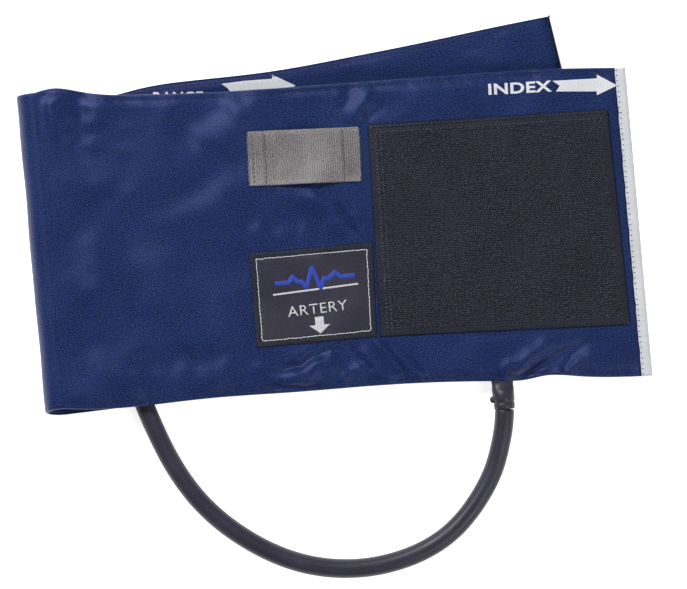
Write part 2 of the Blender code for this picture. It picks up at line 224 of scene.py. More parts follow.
@dataclass(frozen=True)
class Leaf:
    """A leaf's plan: its corners, and how its two long edges bow out from straight."""

    corners: Array
    top_bow: tuple[Plan, ...]
    bottom_bow: tuple[Plan, ...]

    def edges(self, u: Array) -> tuple[Array, Array]:
        """The bottom and the top edge's y, at each share of the length."""
        fold_top, fold_bottom, end_bottom, end_top = self.corners
        bottom = blend_of(fold_bottom[1], end_bottom[1], u) - bow(self.bottom_bow, u)
        top = blend_of(fold_top[1], end_top[1], u) + bow(self.top_bow, u)
        return bottom, top

    def plan(self, u: Array, v: Array) -> Array:
        """The plan point at share u of the length and share v of the width."""
        fold_top, fold_bottom, end_bottom, end_top = self.corners
        bottom, top = self.edges(u)
        start = blend_of(fold_bottom[0], fold_top[0], v)
        x = blend_of(start, blend_of(end_bottom[0], end_top[0], v), u)
        return np.stack([x, blend_of(bottom, top, v)], -1)

    def shares(self, x: Array, y: Array) -> tuple[Array, Array]:
        """The shares of the length and width at which a plan point lies."""
        fold_top, fold_bottom, end_bottom, end_top = self.corners
        u = (x - fold_top[0]) / (end_top[0] - fold_top[0])
        for _ in range(3):
            bottom, top = self.edges(np.clip(u, 0, 1))
            v = (y - bottom) / (top - bottom)
            start = blend_of(fold_bottom[0], fold_top[0], v)
            end = blend_of(end_bottom[0], end_top[0], v)
            u = (x - start) / (end - start)
        return u, v


def bow(points: tuple[Plan, ...], share: Array) -> Array:
    """How far an edge bows out, in metres, from its (share of length, millimetres) points."""
    at, out = zip(*points)
    return curve_through(at, out)(share) / 1000


# How far the edges bow out: (share of the length, millimetres).
LEAF_TOP_BOW = (
    (0.0, 1.2), (0.03, 2.9), (0.06, 2.0), (0.10, -0.4), (0.16, -1.8), (0.24, -2.4),
    (0.36, -2.3), (0.53, -1.1), (0.70, 0.1), (0.87, 1.0), (1.0, 0.1),
)
LEAF_BOTTOM_BOW = (
    (0.0, -2.0), (0.04, -1.0), (0.09, -0.6), (0.17, -1.4), (0.25, -2.5), (0.40, -2.9),
    (0.52, -3.5), (0.66, -3.2), (0.76, -1.9), (0.80, -1.9), (0.83, -3.2), (0.89, -2.0), (1.0, -0.1),
)
TAIL_TOP_BOW = (
    (0.0, 0.0), (0.07, -2.6), (0.14, -5.0), (0.19, -3.9), (0.30, -3.7), (0.46, -5.3),
    (0.60, -4.5), (0.76, -2.9), (0.90, -1.0), (1.0, 0.0),
)
TAIL_BOTTOM_BOW = ((0.0, 1.2), (0.06, 2.0), (0.14, 2.7), (0.30, 1.5), (1.0, 0.0))


def cuff_leaves() -> tuple[Leaf, Leaf]:
    """The bladder leaf in its own axes and the tail leaf in the table's."""
    front = LEAF.corners("outer_panel_front")
    tail = TABLE.corners("outer_panel_tail")
    front[:2, 0] = FOLD_CENTRE
    tail[:2, 0] = FOLD_CENTRE
    return Leaf(front, LEAF_TOP_BOW, LEAF_BOTTOM_BOW), Leaf(tail, TAIL_TOP_BOW, TAIL_BOTTOM_BOW)


FRONT, TAIL = cuff_leaves()


# ---- Meshes ----


@dataclass(frozen=True)
class Pattern:
    """A small shape that is repeated: its points, its faces and its points' places in the cut."""

    points: Array
    faces: tuple[tuple[int, ...], ...]
    cut: Array


def rod(path: Array, radii: Sequence[float], sides: int) -> Pattern:
    """A closed round rod along a path in the X-Z plane.

    Args:
        path: (x, z) points of its middle.
        radii: Its radius at each point.
        sides: How many sides it has.

    Returns:
        The rod as a pattern.
    """
    tangent = np.gradient(path, axis=0)
    tangent /= np.linalg.norm(tangent, axis=1)[:, None]
    turns = np.arange(sides) * math.tau / sides
    points, cut, faces = [], [], []
    for i, (middle, along, radius) in enumerate(zip(path, tangent, radii)):
        for turn in turns:
            up = math.cos(turn) * radius
            points.append((middle[0] - along[1] * up, math.sin(turn) * radius, middle[1] + along[0] * up))
            cut.append((i * radius * 2, turn * radius))
        for k in range(sides if i else 0):
            a, b = (i - 1) * sides + k, (i - 1) * sides + (k + 1) % sides
            faces.append((a, b, b + sides, a + sides))
    last = (len(path) - 1) * sides
    faces.append(tuple(range(sides))[::-1])
    faces.append(tuple(last + k for k in range(sides)))
    return Pattern(np.array(points), tuple(faces), np.array(cut))


def put(name: str, data: bpy.types.ID) -> Piece:
    """A new object with this data, put in the scene."""
    obj = bpy.data.objects.new(name, data)
    bpy.context.scene.collection.objects.link(obj)
    return obj


@dataclass
class Weaver:
    """Gathers points and faces, with their places in the flat cut, and makes one mesh of them."""

    points: list[Array] = field(default_factory=list)
    faces: list[tuple[int, ...]] = field(default_factory=list)
    cut: list[Array] = field(default_factory=list)
    count: int = 0

    def add(self, points: Array, faces: Sequence[tuple[int, ...]], cut: Array) -> None:
        """Adds a lump of mesh."""
        self.points.append(points)
        self.cut.append(cut)
        self.faces.extend(tuple(i + self.count for i in face) for face in faces)
        self.count += len(points)

    def grid(self, points: Array, cut: Array | None = None, flip: bool = False) -> None:
        """Adds a sheet of four-sided faces.

        Args:
            points: (columns, rows, 3) points.
            cut: Their places in the flat cut, or none to measure them along the sheet.
            flip: Whether the faces look the other way.
        """
        columns, rows = points.shape[:2]
        if cut is None:
            cut = measured(points)
        index = np.arange(columns * rows).reshape(columns, rows)
        quads = np.stack([index[:-1, :-1], index[1:, :-1], index[1:, 1:], index[:-1, 1:]], -1)
        quads = quads.reshape(-1, 4)
        if flip:
            quads = quads[:, ::-1]
        self.add(points.reshape(-1, 3), list(map(tuple, quads)), cut.reshape(-1, 2))

    def scatter(self, pattern: Pattern, places: Array, turns: Array, stretch: Array | float = 1.0) -> None:
        """Adds a copy of the pattern at each place.

        Args:
            pattern: What is repeated.
            places: (n, 3) places.
            turns: Each copy's turn about z, in radians.
            stretch: Each copy's scale along its own x.
        """
        count = len(places)
        stretch = np.broadcast_to(np.asarray(stretch, float), (count,))
        c, s = np.cos(turns)[:, None], np.sin(turns)[:, None]
        x = pattern.points[None, :, 0] * stretch[:, None]
        y = pattern.points[None, :, 1]
        z = np.broadcast_to(pattern.points[None, :, 2], x.shape)
        points = np.stack([x * c - y * s, x * s + y * c, z], -1) + places[:, None, :]
        size = len(pattern.points)
        for i in range(count):
            start = self.count + i * size
            self.faces.extend(tuple(start + k for k in face) for face in pattern.faces)
        self.points.append(points.reshape(-1, 3))
        cut = pattern.cut[None] + places[:, None, :2]
        self.cut.append(cut.reshape(-1, 2))
        self.count += count * size

    def move(self, place: Lay) -> None:
        """Carries every point so far to another place."""
        self.points = [place(points) for points in self.points]

    def all_points(self) -> Array:
        """Every point so far."""
        return np.concatenate(self.points)

    def make(self, name: str, material: bpy.types.Material, place: Lay = as_given) -> Piece:
        """Makes the object.

        Args:
            name: The piece's name.
            material: Its finish.
            place: Turns the gathered points into world places.

        Returns:
            The new object, smooth shaded, with its cut as a UV map.
        """
        mesh = bpy.data.meshes.new(name)
        mesh.from_pydata(place(self.all_points()).tolist(), [], self.faces)
        uv = mesh.uv_layers.new(name="cut")
        corner = np.empty(len(mesh.loops), np.int64)
        mesh.loops.foreach_get("vertex_index", corner)
        flat = np.concatenate(self.cut)[corner].astype(np.float32)
        uv.data.foreach_set("uv", flat.ravel())
        mesh.shade_smooth()
        mesh.materials.append(material)
        return put(name, mesh)


def measured(points: Array) -> Array:
    """Each point's distance along and across a sheet, which are its places in the flat cut."""
    along = np.linalg.norm(np.diff(points, axis=0), axis=2)
    across = np.linalg.norm(np.diff(points, axis=1), axis=2)
    s = np.zeros(points.shape[:2])
    t = np.zeros(points.shape[:2])
    s[1:] = np.cumsum(along.mean(axis=1))[:, None]
    t[:, 1:] = np.cumsum(across, axis=1)
    return np.stack([s, t - t.mean(axis=1)[:, None]], -1)


def rolled(points: Array, inward: Array, radius: Array, sweep: float, steps: int = 5) -> Array:
    """The sheet with both of its long edges rolled in.

    Args:
        points: (columns, rows, 3) points that stop this radius short of the edges.
        inward: (columns, 3) directions into the cuff from its outside.
        radius: Each column's roll radius.
        sweep: How far the edge turns, in radians.
        steps: How many rows each roll adds.

    Returns:
        The points with the rolls' rows at both ends.
    """
    turns = sweep * np.arange(1, steps + 1) / steps
    out = points[:, -1] - points[:, 0]
    out = out / np.linalg.norm(out, axis=1)[:, None]
    r = radius[:, None, None]
    side = out[:, None] * (r * np.sin(turns)[None, :, None])
    turn_in = inward[:, None] * (r * (1 - np.cos(turns))[None, :, None])
    high = points[:, -1:] + side + turn_in
    low = points[:, :1] - side + turn_in
    return np.concatenate([low[:, ::-1], points, high], axis=1)


def thickened(obj: Piece, thickness: float) -> Piece:
    """Gives a sheet its thickness, on the side that its faces look away from."""
    modifier = obj.modifiers.new("thickness", "SOLIDIFY")
    modifier.thickness = thickness
    modifier.offset = -1
    modifier.use_even_offset = False
    return obj


# ---- How the leaf's cloth lies ----


@dataclass(frozen=True)
class Crease:
    """A fold in the cloth along a line: a ridge where it rises, a valley where it falls."""

    start: Plan
    end: Plan
    rise: float
    width: float
    sag: float = 0.0

    def at(self, x: Array, y: Array) -> Array:
        """The height it adds at each point."""
        start, end = np.array(self.start), np.array(self.end)
        length = float(np.linalg.norm(end - start))
        along = (end - start) / length
        dx, dy = x - start[0], y - start[1]
        t = (dx * along[0] + dy * along[1]) / length
        across = dy * along[0] - dx * along[1] - self.sag * np.sin(math.pi * np.clip(t, 0, 1))
        across = across + 0.45 * self.width * ripple(t * length, 0.017, round(self.start[0] * 5000))
        ends = smooth((t + 0.15) / 0.4) * smooth((1.15 - t) / 0.4)
        return self.rise * np.exp(-((across / self.width) ** 2)) * ends


MM = 0.001


def crease(ax: float, ay: float, bx: float, by: float, rise: float, width: float, sag: float = 0) -> Crease:
    """A crease given in millimetres."""
    start, end = (ax * MM, ay * MM), (bx * MM, by * MM)
    return Crease(start, end, rise * MM, width * MM, sag * MM)


LEAF_CREASES = (
    # Where the neck of the air tube pulls the lower edge in.
    crease(212, -79, 248, -64, -1.9, 1.7, -1.0),
    crease(238, -77, 246, -66, -1.1, 1.5, 0.8),
    crease(222, -80, 252, -70, 1.0, 3.5, -1.0),
    crease(206, -76, 238, -62, 1.2, 4.0, 1.0),
    crease(228, -76, 243, -72, -0.7, 1.6),
    # Between the label and the hook patch.
    crease(151, -54, 165, -76, -1.9, 1.6, 1.0),
    crease(138, -55, 148, -68, -0.9, 1.5, -1.0),
    crease(133, -72, 148, -64, 0.8, 2.4, 1.0),
    crease(145, -56, 156, -76, 1.0, 3.2),
    crease(158, -58, 173, -76, 0.9, 3.0),
    crease(166, -60, 178, -76, -0.5, 2.4),
    # Under the label.
    crease(103, -64, 130, -55, -1.5, 1.8, -1.5),
    crease(98, -72, 126, -75, -0.7, 1.8, 1.0),
    crease(106, -70, 134, -62, 1.0, 4.5),
    crease(93, -60, 104, -68, 0.6, 3.0),
    crease(132, -56, 140, -70, -0.7, 2.4),
    # Above the corner of the hook patch.
    crease(159, 64, 150, 50, 0.9, 3.0),
    crease(151, 67, 145, 55, -0.8, 2.6),
    crease(164, 56, 155, 47, -0.6, 2.2),
    # Between the strap and the label.
    crease(123, 18, 145, -4, 1.0, 5.0, 1.5),
    crease(128, 20, 142, 14, -0.8, 2.0, -0.8),
    crease(140, 12, 149, -3, -0.9, 2.2, 0.8),
    crease(97, 2, 116, -3, 0.7, 4.0),
    crease(112, 10, 122, 2, -0.5, 3.5),
    # The broad folds at the left, over the tube that lies between the leaves.
    crease(110, 64, 66, 35, 1.1, 8.0, 2.0),
    crease(96, 70, 60, 48, -0.7, 6.0),
    crease(9, 76, 12, 50, 1.0, 5.0),
    crease(23, 76, 21, 44, -1.5, 4.5),
    crease(34, 74, 36, 20, 0.5, 9.0),
    crease(30, -54, 88, -53, -0.8, 4.0, -1.0),
    crease(28, -64, 92, -63, 0.5, 5.0),
    crease(14, 30, 16, -60, -0.4, 7.0),
)


def softened(heights: Array) -> Array:
    """Each height averaged with its neighbours."""
    padded = np.pad(heights, 1, mode="edge")
    beside = padded[:-2, 1:-1] + padded[2:, 1:-1] + padded[1:-1, :-2] + padded[1:-1, 2:]
    return heights * 0.4 + beside * 0.15


def floor_at(heights: Array, lowest: float) -> Array:
    """Heights that level off softly before they fall below the lowest, which is negative."""
    fallen = np.minimum(heights, 0.0)
    return np.maximum(heights, 0.0) + lowest * np.tanh(fallen / lowest)


@dataclass
class LeafCloth:
    """How the outer cloth of the bladder leaf lies, and how far each point of it swells."""

    patches: tuple[Array, ...]
    rise_grid: Array = field(default_factory=lambda: np.zeros((2, 2)))
    columns: int = 110
    rows: int = 60
    edge_drop: float = 0.0010
    edge_width: float = 0.0070
    seam_inset: float = 0.0024
    settled_share: float = 0.85
    crease_strength: float = 1.6
    crease_on_patch: float = 0.12
    deepest: float = -0.0018
    settling_scale: float = 10.0
    settling_steps: int = 30
    softenings: int = 6

    def patch_distance(self, x: Array, y: Array) -> Array:
        """How far outside the nearest sewn patch each point is, and 0 within one."""
        nearest = np.full(np.shape(x), 1.0)
        for corners in self.patches:
            outside = np.full(np.shape(x), -1.0)
            middle = corners.mean(axis=0)
            for a, b in zip(corners, np.roll(corners, -1, axis=0)):
                along = unit(b - a)
                away = (x - a[0]) * -along[1] + (y - a[1]) * along[0]
                facing = (middle[0] - a[0]) * -along[1] + (middle[1] - a[1]) * along[0]
                outside = np.maximum(outside, away * -math.copysign(1, facing))
            nearest = np.minimum(nearest, np.maximum(outside, 0))
        return nearest

    def settle(self) -> None:
        """Lets a slightly roomy sheet buckle between its seams and patches, by cloth simulation."""
        u, v = lattice(self.columns, self.rows)
        plan = FRONT.plan(u, v)
        held = self.patch_distance(plan[..., 0], plan[..., 1]) <= 0.0005
        held[:, [0, -1]] = True
        held[[0, 1, 2, -1], :] = True
        weaver = Weaver()
        lift = 0.0006 * ripple(plan[..., 0], 0.031, 4) * ripple(plan[..., 1], 0.027, 9)
        start = np.concatenate([plan, lift[..., None]], -1) * self.settling_scale
        weaver.grid(start)
        obj = weaver.make("settling_cloth", bpy.data.materials.new("plain"))
        group = obj.vertex_groups.new(name="held")
        group.add(np.flatnonzero(held.ravel()).tolist(), 1.0, "ADD")
        cloth = obj.modifiers.new("cloth", "CLOTH")
        settings = cloth.settings
        settings.quality = 6
        settings.mass = 0.2
        settings.tension_stiffness = 12
        settings.compression_stiffness = 12
        settings.shear_stiffness = 6
        settings.bending_stiffness = 2.0
        settings.air_damping = 4
        settings.shrink_min = -0.010
        settings.shrink_max = -0.010
        settings.vertex_group_mass = "held"
        settings.effector_weights.gravity = 0
        scene = bpy.context.scene
        for step in range(1, self.settling_steps + 1):
            scene.frame_set(step)
        settled = obj.evaluated_get(bpy.context.evaluated_depsgraph_get())
        points = np.empty(self.columns * self.rows * 3, np.float32)
        settled.data.vertices.foreach_get("co", points)
        rise = points.reshape(self.columns, self.rows, 3)[..., 2] / self.settling_scale
        scene.frame_set(1)
        bpy.data.objects.remove(obj)
        for _ in range(self.softenings):
            rise = softened(rise)
        self.rise_grid = rise * self.settled_share
        lowest, highest = self.rise_grid.min() / MM, self.rise_grid.max() / MM
        log.info("cloth settled between %.2f and %.2f mm", lowest, highest)

    def from_grid(self, u: Array, v: Array) -> Array:
        """The settled rise at shares of the length and width, read between the grid's points."""
        columns, rows = self.rise_grid.shape
        a = np.clip(u, 0, 1) * (columns - 1)
        b = np.clip(v, 0, 1) * (rows - 1)
        i = np.clip(a.astype(int), 0, columns - 2)
        j = np.clip(b.astype(int), 0, rows - 2)
        s, t = a - i, b - j
        low = blend_of(self.rise_grid[i, j], self.rise_grid[i + 1, j], s)
        high = blend_of(self.rise_grid[i, j + 1], self.rise_grid[i + 1, j + 1], s)
        return blend_of(low, high, t)

    def distances(self, x: Array, y: Array) -> tuple[Array, Array, Array]:
        """How far each point is from the nearer long edge, the fold and the leaf's end."""
        u, v = FRONT.shares(x, y)
        bottom, top = FRONT.edges(np.clip(u, 0, 1))
        end = blend_of(FRONT.corners[2, 0], FRONT.corners[3, 0], np.clip(v, 0, 1))
        return np.minimum(y - bottom, top - y), x - FOLD_CENTRE, end - x

    def rise(self, x: Array, y: Array) -> Array:
        """How far the outer cloth lies above the leaf's flat top."""
        u, v = FRONT.shares(x, y)
        to_edge, to_fold, to_end = (np.clip(away, 0, 1) for away in self.distances(x, y))
        free = smooth(self.patch_distance(x, y) / 0.0045)
        inside = smooth(to_fold / 0.008) * smooth(to_end / 0.004)
        loose = self.from_grid(u, v) * free
        folds = self.crease_strength * sum(one.at(x, y) for one in LEAF_CREASES)
        folds = folds * blend_of(self.crease_on_patch, 1.0, free)
        near_seam = np.exp(-(((to_edge - self.seam_inset) / 0.0016) ** 2))
        gathers = np.exp(-((to_edge / 0.007) ** 2)) * ripple(x + 0.4 * y, 0.0085, 3)
        seam = -0.00035 * near_seam + 0.00022 * gathers
        sway = 0.0003 * ripple(x + 0.3 * y, 0.11, 5) * ripple(y - 0.2 * x, 0.09, 6)
        edge = -self.edge_drop * (1 - smooth(to_edge / self.edge_width))
        lie = floor_at(loose + folds + seam + sway, self.deepest)
        return lie * inside + edge * smooth(to_fold / 0.006)

    def swell(self, x: Array, y: Array) -> Array:
        """The share of the bladder's swelling that each point takes: 0 at the leaf's edges."""
        to_edge, to_fold, to_end = self.distances(x, y)
        share = 1.0
        for distance, reach in ((to_fold - 0.004, 0.040), (to_end - 0.001, 0.034), (to_edge, 0.034)):
            share = share * np.sin(np.clip(distance / reach, 0, 1) * math.pi / 2)
        return share

    def over(self, points: Array) -> Array:
        """World places of points given as leaf x, leaf y and height above the cloth."""
        z = LEAF_TOP + self.rise(points[:, 0], points[:, 1]) + points[:, 2]
        return LEAF.to_world(np.column_stack([points[:, :2], z]))

    def sew(self, obj: Piece, plan: Array) -> Piece:
        """Bakes a piece's transform into its mesh, and works out how far each of its points would swell.

        Args:
            obj: The finished piece.
            plan: The leaf x and y of each of its points.

        Returns:
            The same piece.
        """
        low, high = Vector(LEAF.origin), Vector(LEAF.origin + LEAF.rows[2])
        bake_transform(obj)
        share = self.swell(plan[:, 0], plan[:, 1]).astype(np.float32)
        return obj

    def piece(self, weaver: Weaver, name: str, finish: "Finish | Ink", thickness: float = 0.0) -> Piece:
        """Makes a piece that lies on the cloth.

        Args:
            weaver: Its points, given as leaf x, leaf y and height above the cloth.
            name: The piece's name.
            finish: Its finish.
            thickness: How thick its sheet is, or 0 for a closed solid.

        Returns:
            The new piece.
        """
        obj = weaver.make(name, finish.material(), self.over)
        if thickness:
            thickened(obj, thickness)
        return self.sew(obj, weaver.all_points()[:, :2])


# ---- Finishes ----


def linear(red: int, green: int, blue: int) -> tuple[float, ...]:
    """A colour given as 0 to 255, as Blender's own linear numbers."""
    shares = [channel / 255 for channel in (red, green, blue)]
    return (*[s / 12.92 if s <= 0.04045 else ((s + 0.055) / 1.055) ** 2.4 for s in shares], 1.0)


@dataclass
class Nodes:
    """Short ways to build a node tree."""

    tree: Tree

    def add(self, kind: str, **settings: object) -> bpy.types.Node:
        """A new node, with these properties set."""
        node = self.tree.nodes.new(kind)
        for name, value in settings.items():
            setattr(node, name, value)
        return node

    def feed(self, socket: Socket, value: object) -> None:
        """Links a socket to another, or sets its value."""
        if isinstance(value, Socket):
            self.tree.links.new(value, socket)
        elif value is not None:
            socket.default_value = value

    def math(self, operation: str, *values: object) -> Socket:
        """A Math node's result."""
        node = self.add("ShaderNodeMath", operation=operation)
        for socket, value in zip(node.inputs, values):
            self.feed(socket, value)
        return node.outputs[0]

    def scaled(self, vector: object, by: object) -> Socket:
        """A vector times a number or times another vector."""
        if isinstance(by, tuple):
            node = self.add("ShaderNodeVectorMath", operation="MULTIPLY")
            self.feed(node.inputs[1], by)
        else:
            node = self.add("ShaderNodeVectorMath", operation="SCALE")
            self.feed(node.inputs["Scale"], by)
        self.feed(node.inputs[0], vector)
        return node.outputs["Vector"]

    def noise(self, vector: object, scale: object, detail: float = 2.0, rough: float = 0.5) -> Socket:
        """A noise texture's value."""
        node = self.add("ShaderNodeTexNoise")
        self.feed(node.inputs["Vector"], vector)
        self.feed(node.inputs["Scale"], scale)
        node.inputs["Detail"].default_value = detail
        node.inputs["Roughness"].default_value = rough
        return node.outputs[0]

    def span(self, *values: object) -> Socket:
        """A value carried from one range to another, by default 0 to 1, and held at the ends."""
        node = self.add("ShaderNodeMapRange")
        for socket, given in zip(node.inputs, values):
            self.feed(socket, given)
        return node.outputs[0]

    def mix(self, share: object, first: object, second: object) -> Socket:
        """A colour between two colours."""
        node = self.add("ShaderNodeMix", data_type="RGBA")
        sockets = [s for s in node.inputs if s.enabled]
        self.feed(sockets[0], share)
        self.feed(sockets[1], first)
        self.feed(sockets[2], second)
        return next(s for s in node.outputs if s.enabled)

    def bump(self, height: object, distance: float) -> Socket:
        """A normal raised by a height, whose full range stands this many metres."""
        node = self.add("ShaderNodeBump")
        node.inputs["Distance"].default_value = distance
        self.feed(node.inputs["Height"], height)
        return node.outputs["Normal"]

    def cut(self) -> Socket:
        """The place in the flat cut, in metres."""
        return self.add("ShaderNodeUVMap", uv_map="cut").outputs["UV"]

    def effect(self, group: Tree, **inputs: object) -> bpy.types.Node:
        """One of the shared effects, with its inputs fed."""
        node = self.add("ShaderNodeGroup", node_tree=group)
        for name, value in inputs.items():
            self.feed(node.inputs[name], value)
        return node


def effect_group(
    name: str, inputs: Sequence[tuple[str, str, object]], outputs: Sequence[str]
) -> tuple[Tree, Nodes, bpy.types.Node, bpy.types.Node]:
    """An empty shared effect.

    Args:
        name: The effect's name.
        inputs: Each input's name, socket type and usual value.
        outputs: The names of its outputs, which are numbers.

    Returns:
        The group, its node builder, its input node and its output node.
    """
    group = bpy.data.node_groups.new(name, "ShaderNodeTree")
    for label, kind, value in inputs:
        socket = group.interface.new_socket(name=label, in_out="INPUT", socket_type=kind)
        if value is not None:
            socket.default_value = value
    for label in outputs:
        group.interface.new_socket(name=label, in_out="OUTPUT", socket_type="NodeSocketFloat")
    nodes = Nodes(group)
    return group, nodes, nodes.add("NodeGroupInput"), nodes.add("NodeGroupOutput")


CUT_INPUT = ("Cut", "NodeSocketVector", None)


def make_weave() -> Tree:
    """Plain weave: threads over and under each other, uneven in thickness and in tone."""
    inputs = (CUT_INPUT, ("Pitch", "NodeSocketFloat", 0.0005), ("Slub", "NodeSocketFloat", 0.4))
    group, nodes, given, made = effect_group("plain_weave", inputs, ("Height", "Tone"))
    per_thread = nodes.math("DIVIDE", math.pi, given.outputs["Pitch"])
    parts = nodes.add("ShaderNodeSeparateXYZ")
    nodes.feed(parts.inputs[0], nodes.scaled(given.outputs["Cut"], per_thread))
    across = nodes.math("SINE", parts.outputs["X"])
    along = nodes.math("SINE", parts.outputs["Y"])
    over = nodes.math("MULTIPLY", across, along)
    warp = nodes.noise(nodes.scaled(given.outputs["Cut"], (60.0, 2400.0, 0.0)), 1.0)
    weft = nodes.noise(nodes.scaled(given.outputs["Cut"], (2400.0, 60.0, 0.0)), 1.0)
    uneven = nodes.math("SUBTRACT", nodes.math("ADD", warp, weft), 1.0)
    slub = nodes.math("MULTIPLY", uneven, given.outputs["Slub"])
    height = nodes.math("ADD", nodes.math("MULTIPLY_ADD", over, 0.5, 0.5), slub)
    nodes.feed(made.inputs["Height"], height)
    nodes.feed(made.inputs["Tone"], nodes.math("MULTIPLY_ADD", slub, 1.0, 0.5))
    return group


def make_grain() -> Tree:
    """Fine specks, which the finishes paint as thread glints and as shade in the gaps between threads, with
    slow change from place to place.
    """
    inputs = (CUT_INPUT, ("Size", "NodeSocketFloat", 0.0006))
    group, nodes, given, made = effect_group("thread_specks", inputs, ("Specks", "Drift"))
    scale = nodes.math("DIVIDE", 1.0, given.outputs["Size"])
    fine = nodes.noise(given.outputs["Cut"], scale, 1.0, 0.6)
    nodes.feed(made.inputs["Specks"], nodes.span(fine, 0.37, 0.63))
    slow = nodes.noise(given.outputs["Cut"], 38.0, 3.0, 0.55)
    nodes.feed(made.inputs["Drift"], nodes.span(slow, 0.30, 0.70))
    return group


def make_lint() -> Tree:
    """Lint and handling dust, caught here and there."""
    inputs = (CUT_INPUT, ("Amount", "NodeSocketFloat", 0.3))
    group, nodes, given, made = effect_group("lint", inputs, ("Mask",))
    bits = nodes.span(nodes.noise(given.outputs["Cut"], 900.0, 2.0, 0.7), 0.66, 0.74)
    where = nodes.span(nodes.noise(given.outputs["Cut"], 45.0, 2.0), 0.40, 0.70)
    mask = nodes.math("MULTIPLY", nodes.math("MULTIPLY", bits, where), given.outputs["Amount"])
    nodes.feed(made.inputs["Mask"], mask)
    return group


@dataclass(frozen=True)
class Effects:
    """The shared effects, each built once."""

    weave: Tree
    grain: Tree
    lint: Tree


EFFECTS = Effects(make_weave(), make_grain(), make_lint())


def new_material(name: str) -> tuple[bpy.types.Material, bpy.types.Node]:
    """A new material and its shader."""
    made = bpy.data.materials.new(name)
    made.use_nodes = True
    return made, made.node_tree.nodes["Principled BSDF"]


def set_inputs(node: bpy.types.Node, **values: object) -> None:
    """Sets a node's inputs, whose names have their spaces written as underscores."""
    for name, value in values.items():
        node.inputs[name.replace("_", " ")].default_value = value


@dataclass(frozen=True)
class Finish:
    """A finish with two tones, fine specks between them that paint thread glints and the shade in thread
    gaps, and a woven or moulded surface.

    Roughness and sheen are even over the surface, and the rest changes with the cut.
    """

    slot: str
    dark: tuple[int, int, int]
    light: tuple[int, int, int]
    pitch: float
    relief: float
    speck_size: float = 0.0006
    speck_share: float = 0.5
    roughness: float = 0.6
    roughness_swing: float = 0.1
    specular: float = 0.4
    specular_tint: tuple[int, int, int] = (255, 255, 255)
    sheen: float = 0.0
    sheen_tint: tuple[int, int, int] = (200, 200, 230)
    lint: float = 0.2
    slub: float = 0.4

    def material(self) -> bpy.types.Material:
        """Builds the finish's material, once."""
        name = f"{self.slot}_finish"
        ready = bpy.data.materials.get(name)
        if ready is not None:
            return ready
        made, shader = new_material(name)
        nodes = Nodes(made.node_tree)
        cut = nodes.cut()
        weave = nodes.effect(EFFECTS.weave, Cut=cut, Pitch=self.pitch, Slub=self.slub)
        grain = nodes.effect(EFFECTS.grain, Cut=cut, Size=self.speck_size)
        lint = nodes.effect(EFFECTS.lint, Cut=cut, Amount=self.lint)
        # The specks paint the threads' glints and the shade in the gaps between threads into the base
        # colour.
        specks = nodes.math("MULTIPLY", grain.outputs["Specks"], self.speck_share)
        rest = nodes.math("MULTIPLY", grain.outputs["Drift"], (1 - self.speck_share) * 0.6)
        threads = nodes.math("MULTIPLY", weave.outputs["Tone"], 0.2)
        tone = nodes.math("ADD", nodes.math("ADD", specks, rest), threads)
        colour = nodes.mix(tone, linear(*self.dark), linear(*self.light))
        colour = nodes.mix(lint.outputs["Mask"], colour, linear(190, 190, 196))
        nodes.feed(shader.inputs["Base Color"], colour)
        low, high = self.roughness - self.roughness_swing, self.roughness + self.roughness_swing
        nodes.feed(shader.inputs["Roughness"], nodes.span(grain.outputs["Drift"], 0.0, 1.0, low, high))
        nodes.feed(shader.inputs["Normal"], nodes.bump(weave.outputs["Height"], self.relief))
        set_inputs(shader, Specular_IOR_Level=self.specular, Specular_Tint=linear(*self.specular_tint))
        set_inputs(shader, Sheen_Weight=self.sheen, Sheen_Tint=linear(*self.sheen_tint))
        set_inputs(shader, Sheen_Roughness=0.4)
        return made


# Most of the nylon's tone is specks: its light colour is the painted glint of threads, and its dark colour
# is the painted shade in their gaps.
NYLON = Finish(
    "navy_nylon", (0, 0, 8), (38, 60, 114), pitch=0.00042, relief=0.00006, speck_size=0.00062,
    speck_share=0.85, roughness=0.40, roughness_swing=0.06, specular=0.55, specular_tint=(150, 150, 212),
    lint=0.04,
)
HOOK_TAPE = Finish(
    "hook_tape", (6, 9, 22), (40, 43, 58), pitch=0.0009, relief=0.00015, speck_share=0.6,
    roughness=0.45, specular=0.35, sheen=0.04, lint=0.0,
)
HOOKS = Finish(
    "hook_nylon", (7, 10, 22), (102, 105, 128), pitch=0.0009, relief=0.00002, speck_size=0.0011,
    speck_share=0.9, roughness=0.38, specular=0.45, lint=0.0,
)
LOOP_TAPE = Finish(
    "loop_tape", (30, 27, 30), (58, 53, 58), pitch=0.0011, relief=0.00015, roughness=0.9,
    sheen=0.3, lint=0.6,
)
WEBBING = Finish(
    "grey_webbing", (62, 59, 61), (176, 171, 173), pitch=0.00054, relief=0.00012, speck_size=0.0007,
    speck_share=0.42, roughness=0.75, specular=0.3, sheen=0.15, sheen_tint=(230, 230, 230), lint=0.3,
)
SATIN = Finish(
    "label_satin", (32, 31, 44), (62, 61, 76), pitch=0.0003, relief=0.00003, speck_size=0.0006,
    roughness=0.38, specular=0.4, sheen=0.05, sheen_tint=(190, 190, 220), lint=0.1,
)
WHITE_TAPE = Finish(
    "white_tape", (196, 198, 205), (232, 233, 238), pitch=0.0006, relief=0.00008, roughness=0.7,
    specular=0.3, sheen=0.1, sheen_tint=(240, 240, 240), lint=0.0,
)
WHITE_THREAD = Finish(
    "white_thread", (178, 180, 190), (236, 236, 242), pitch=0.0003, relief=0.00005, roughness=0.5, lint=0.0,
)
NAVY_THREAD = Finish(
    "navy_thread", (14, 22, 48), (40, 52, 92), pitch=0.0003, relief=0.00005, roughness=0.5, lint=0.0,
)
GREY_THREAD = Finish(
    "grey_thread", (70, 66, 80), (112, 108, 122), pitch=0.0003, relief=0.00005, roughness=0.55, lint=0.0,
)
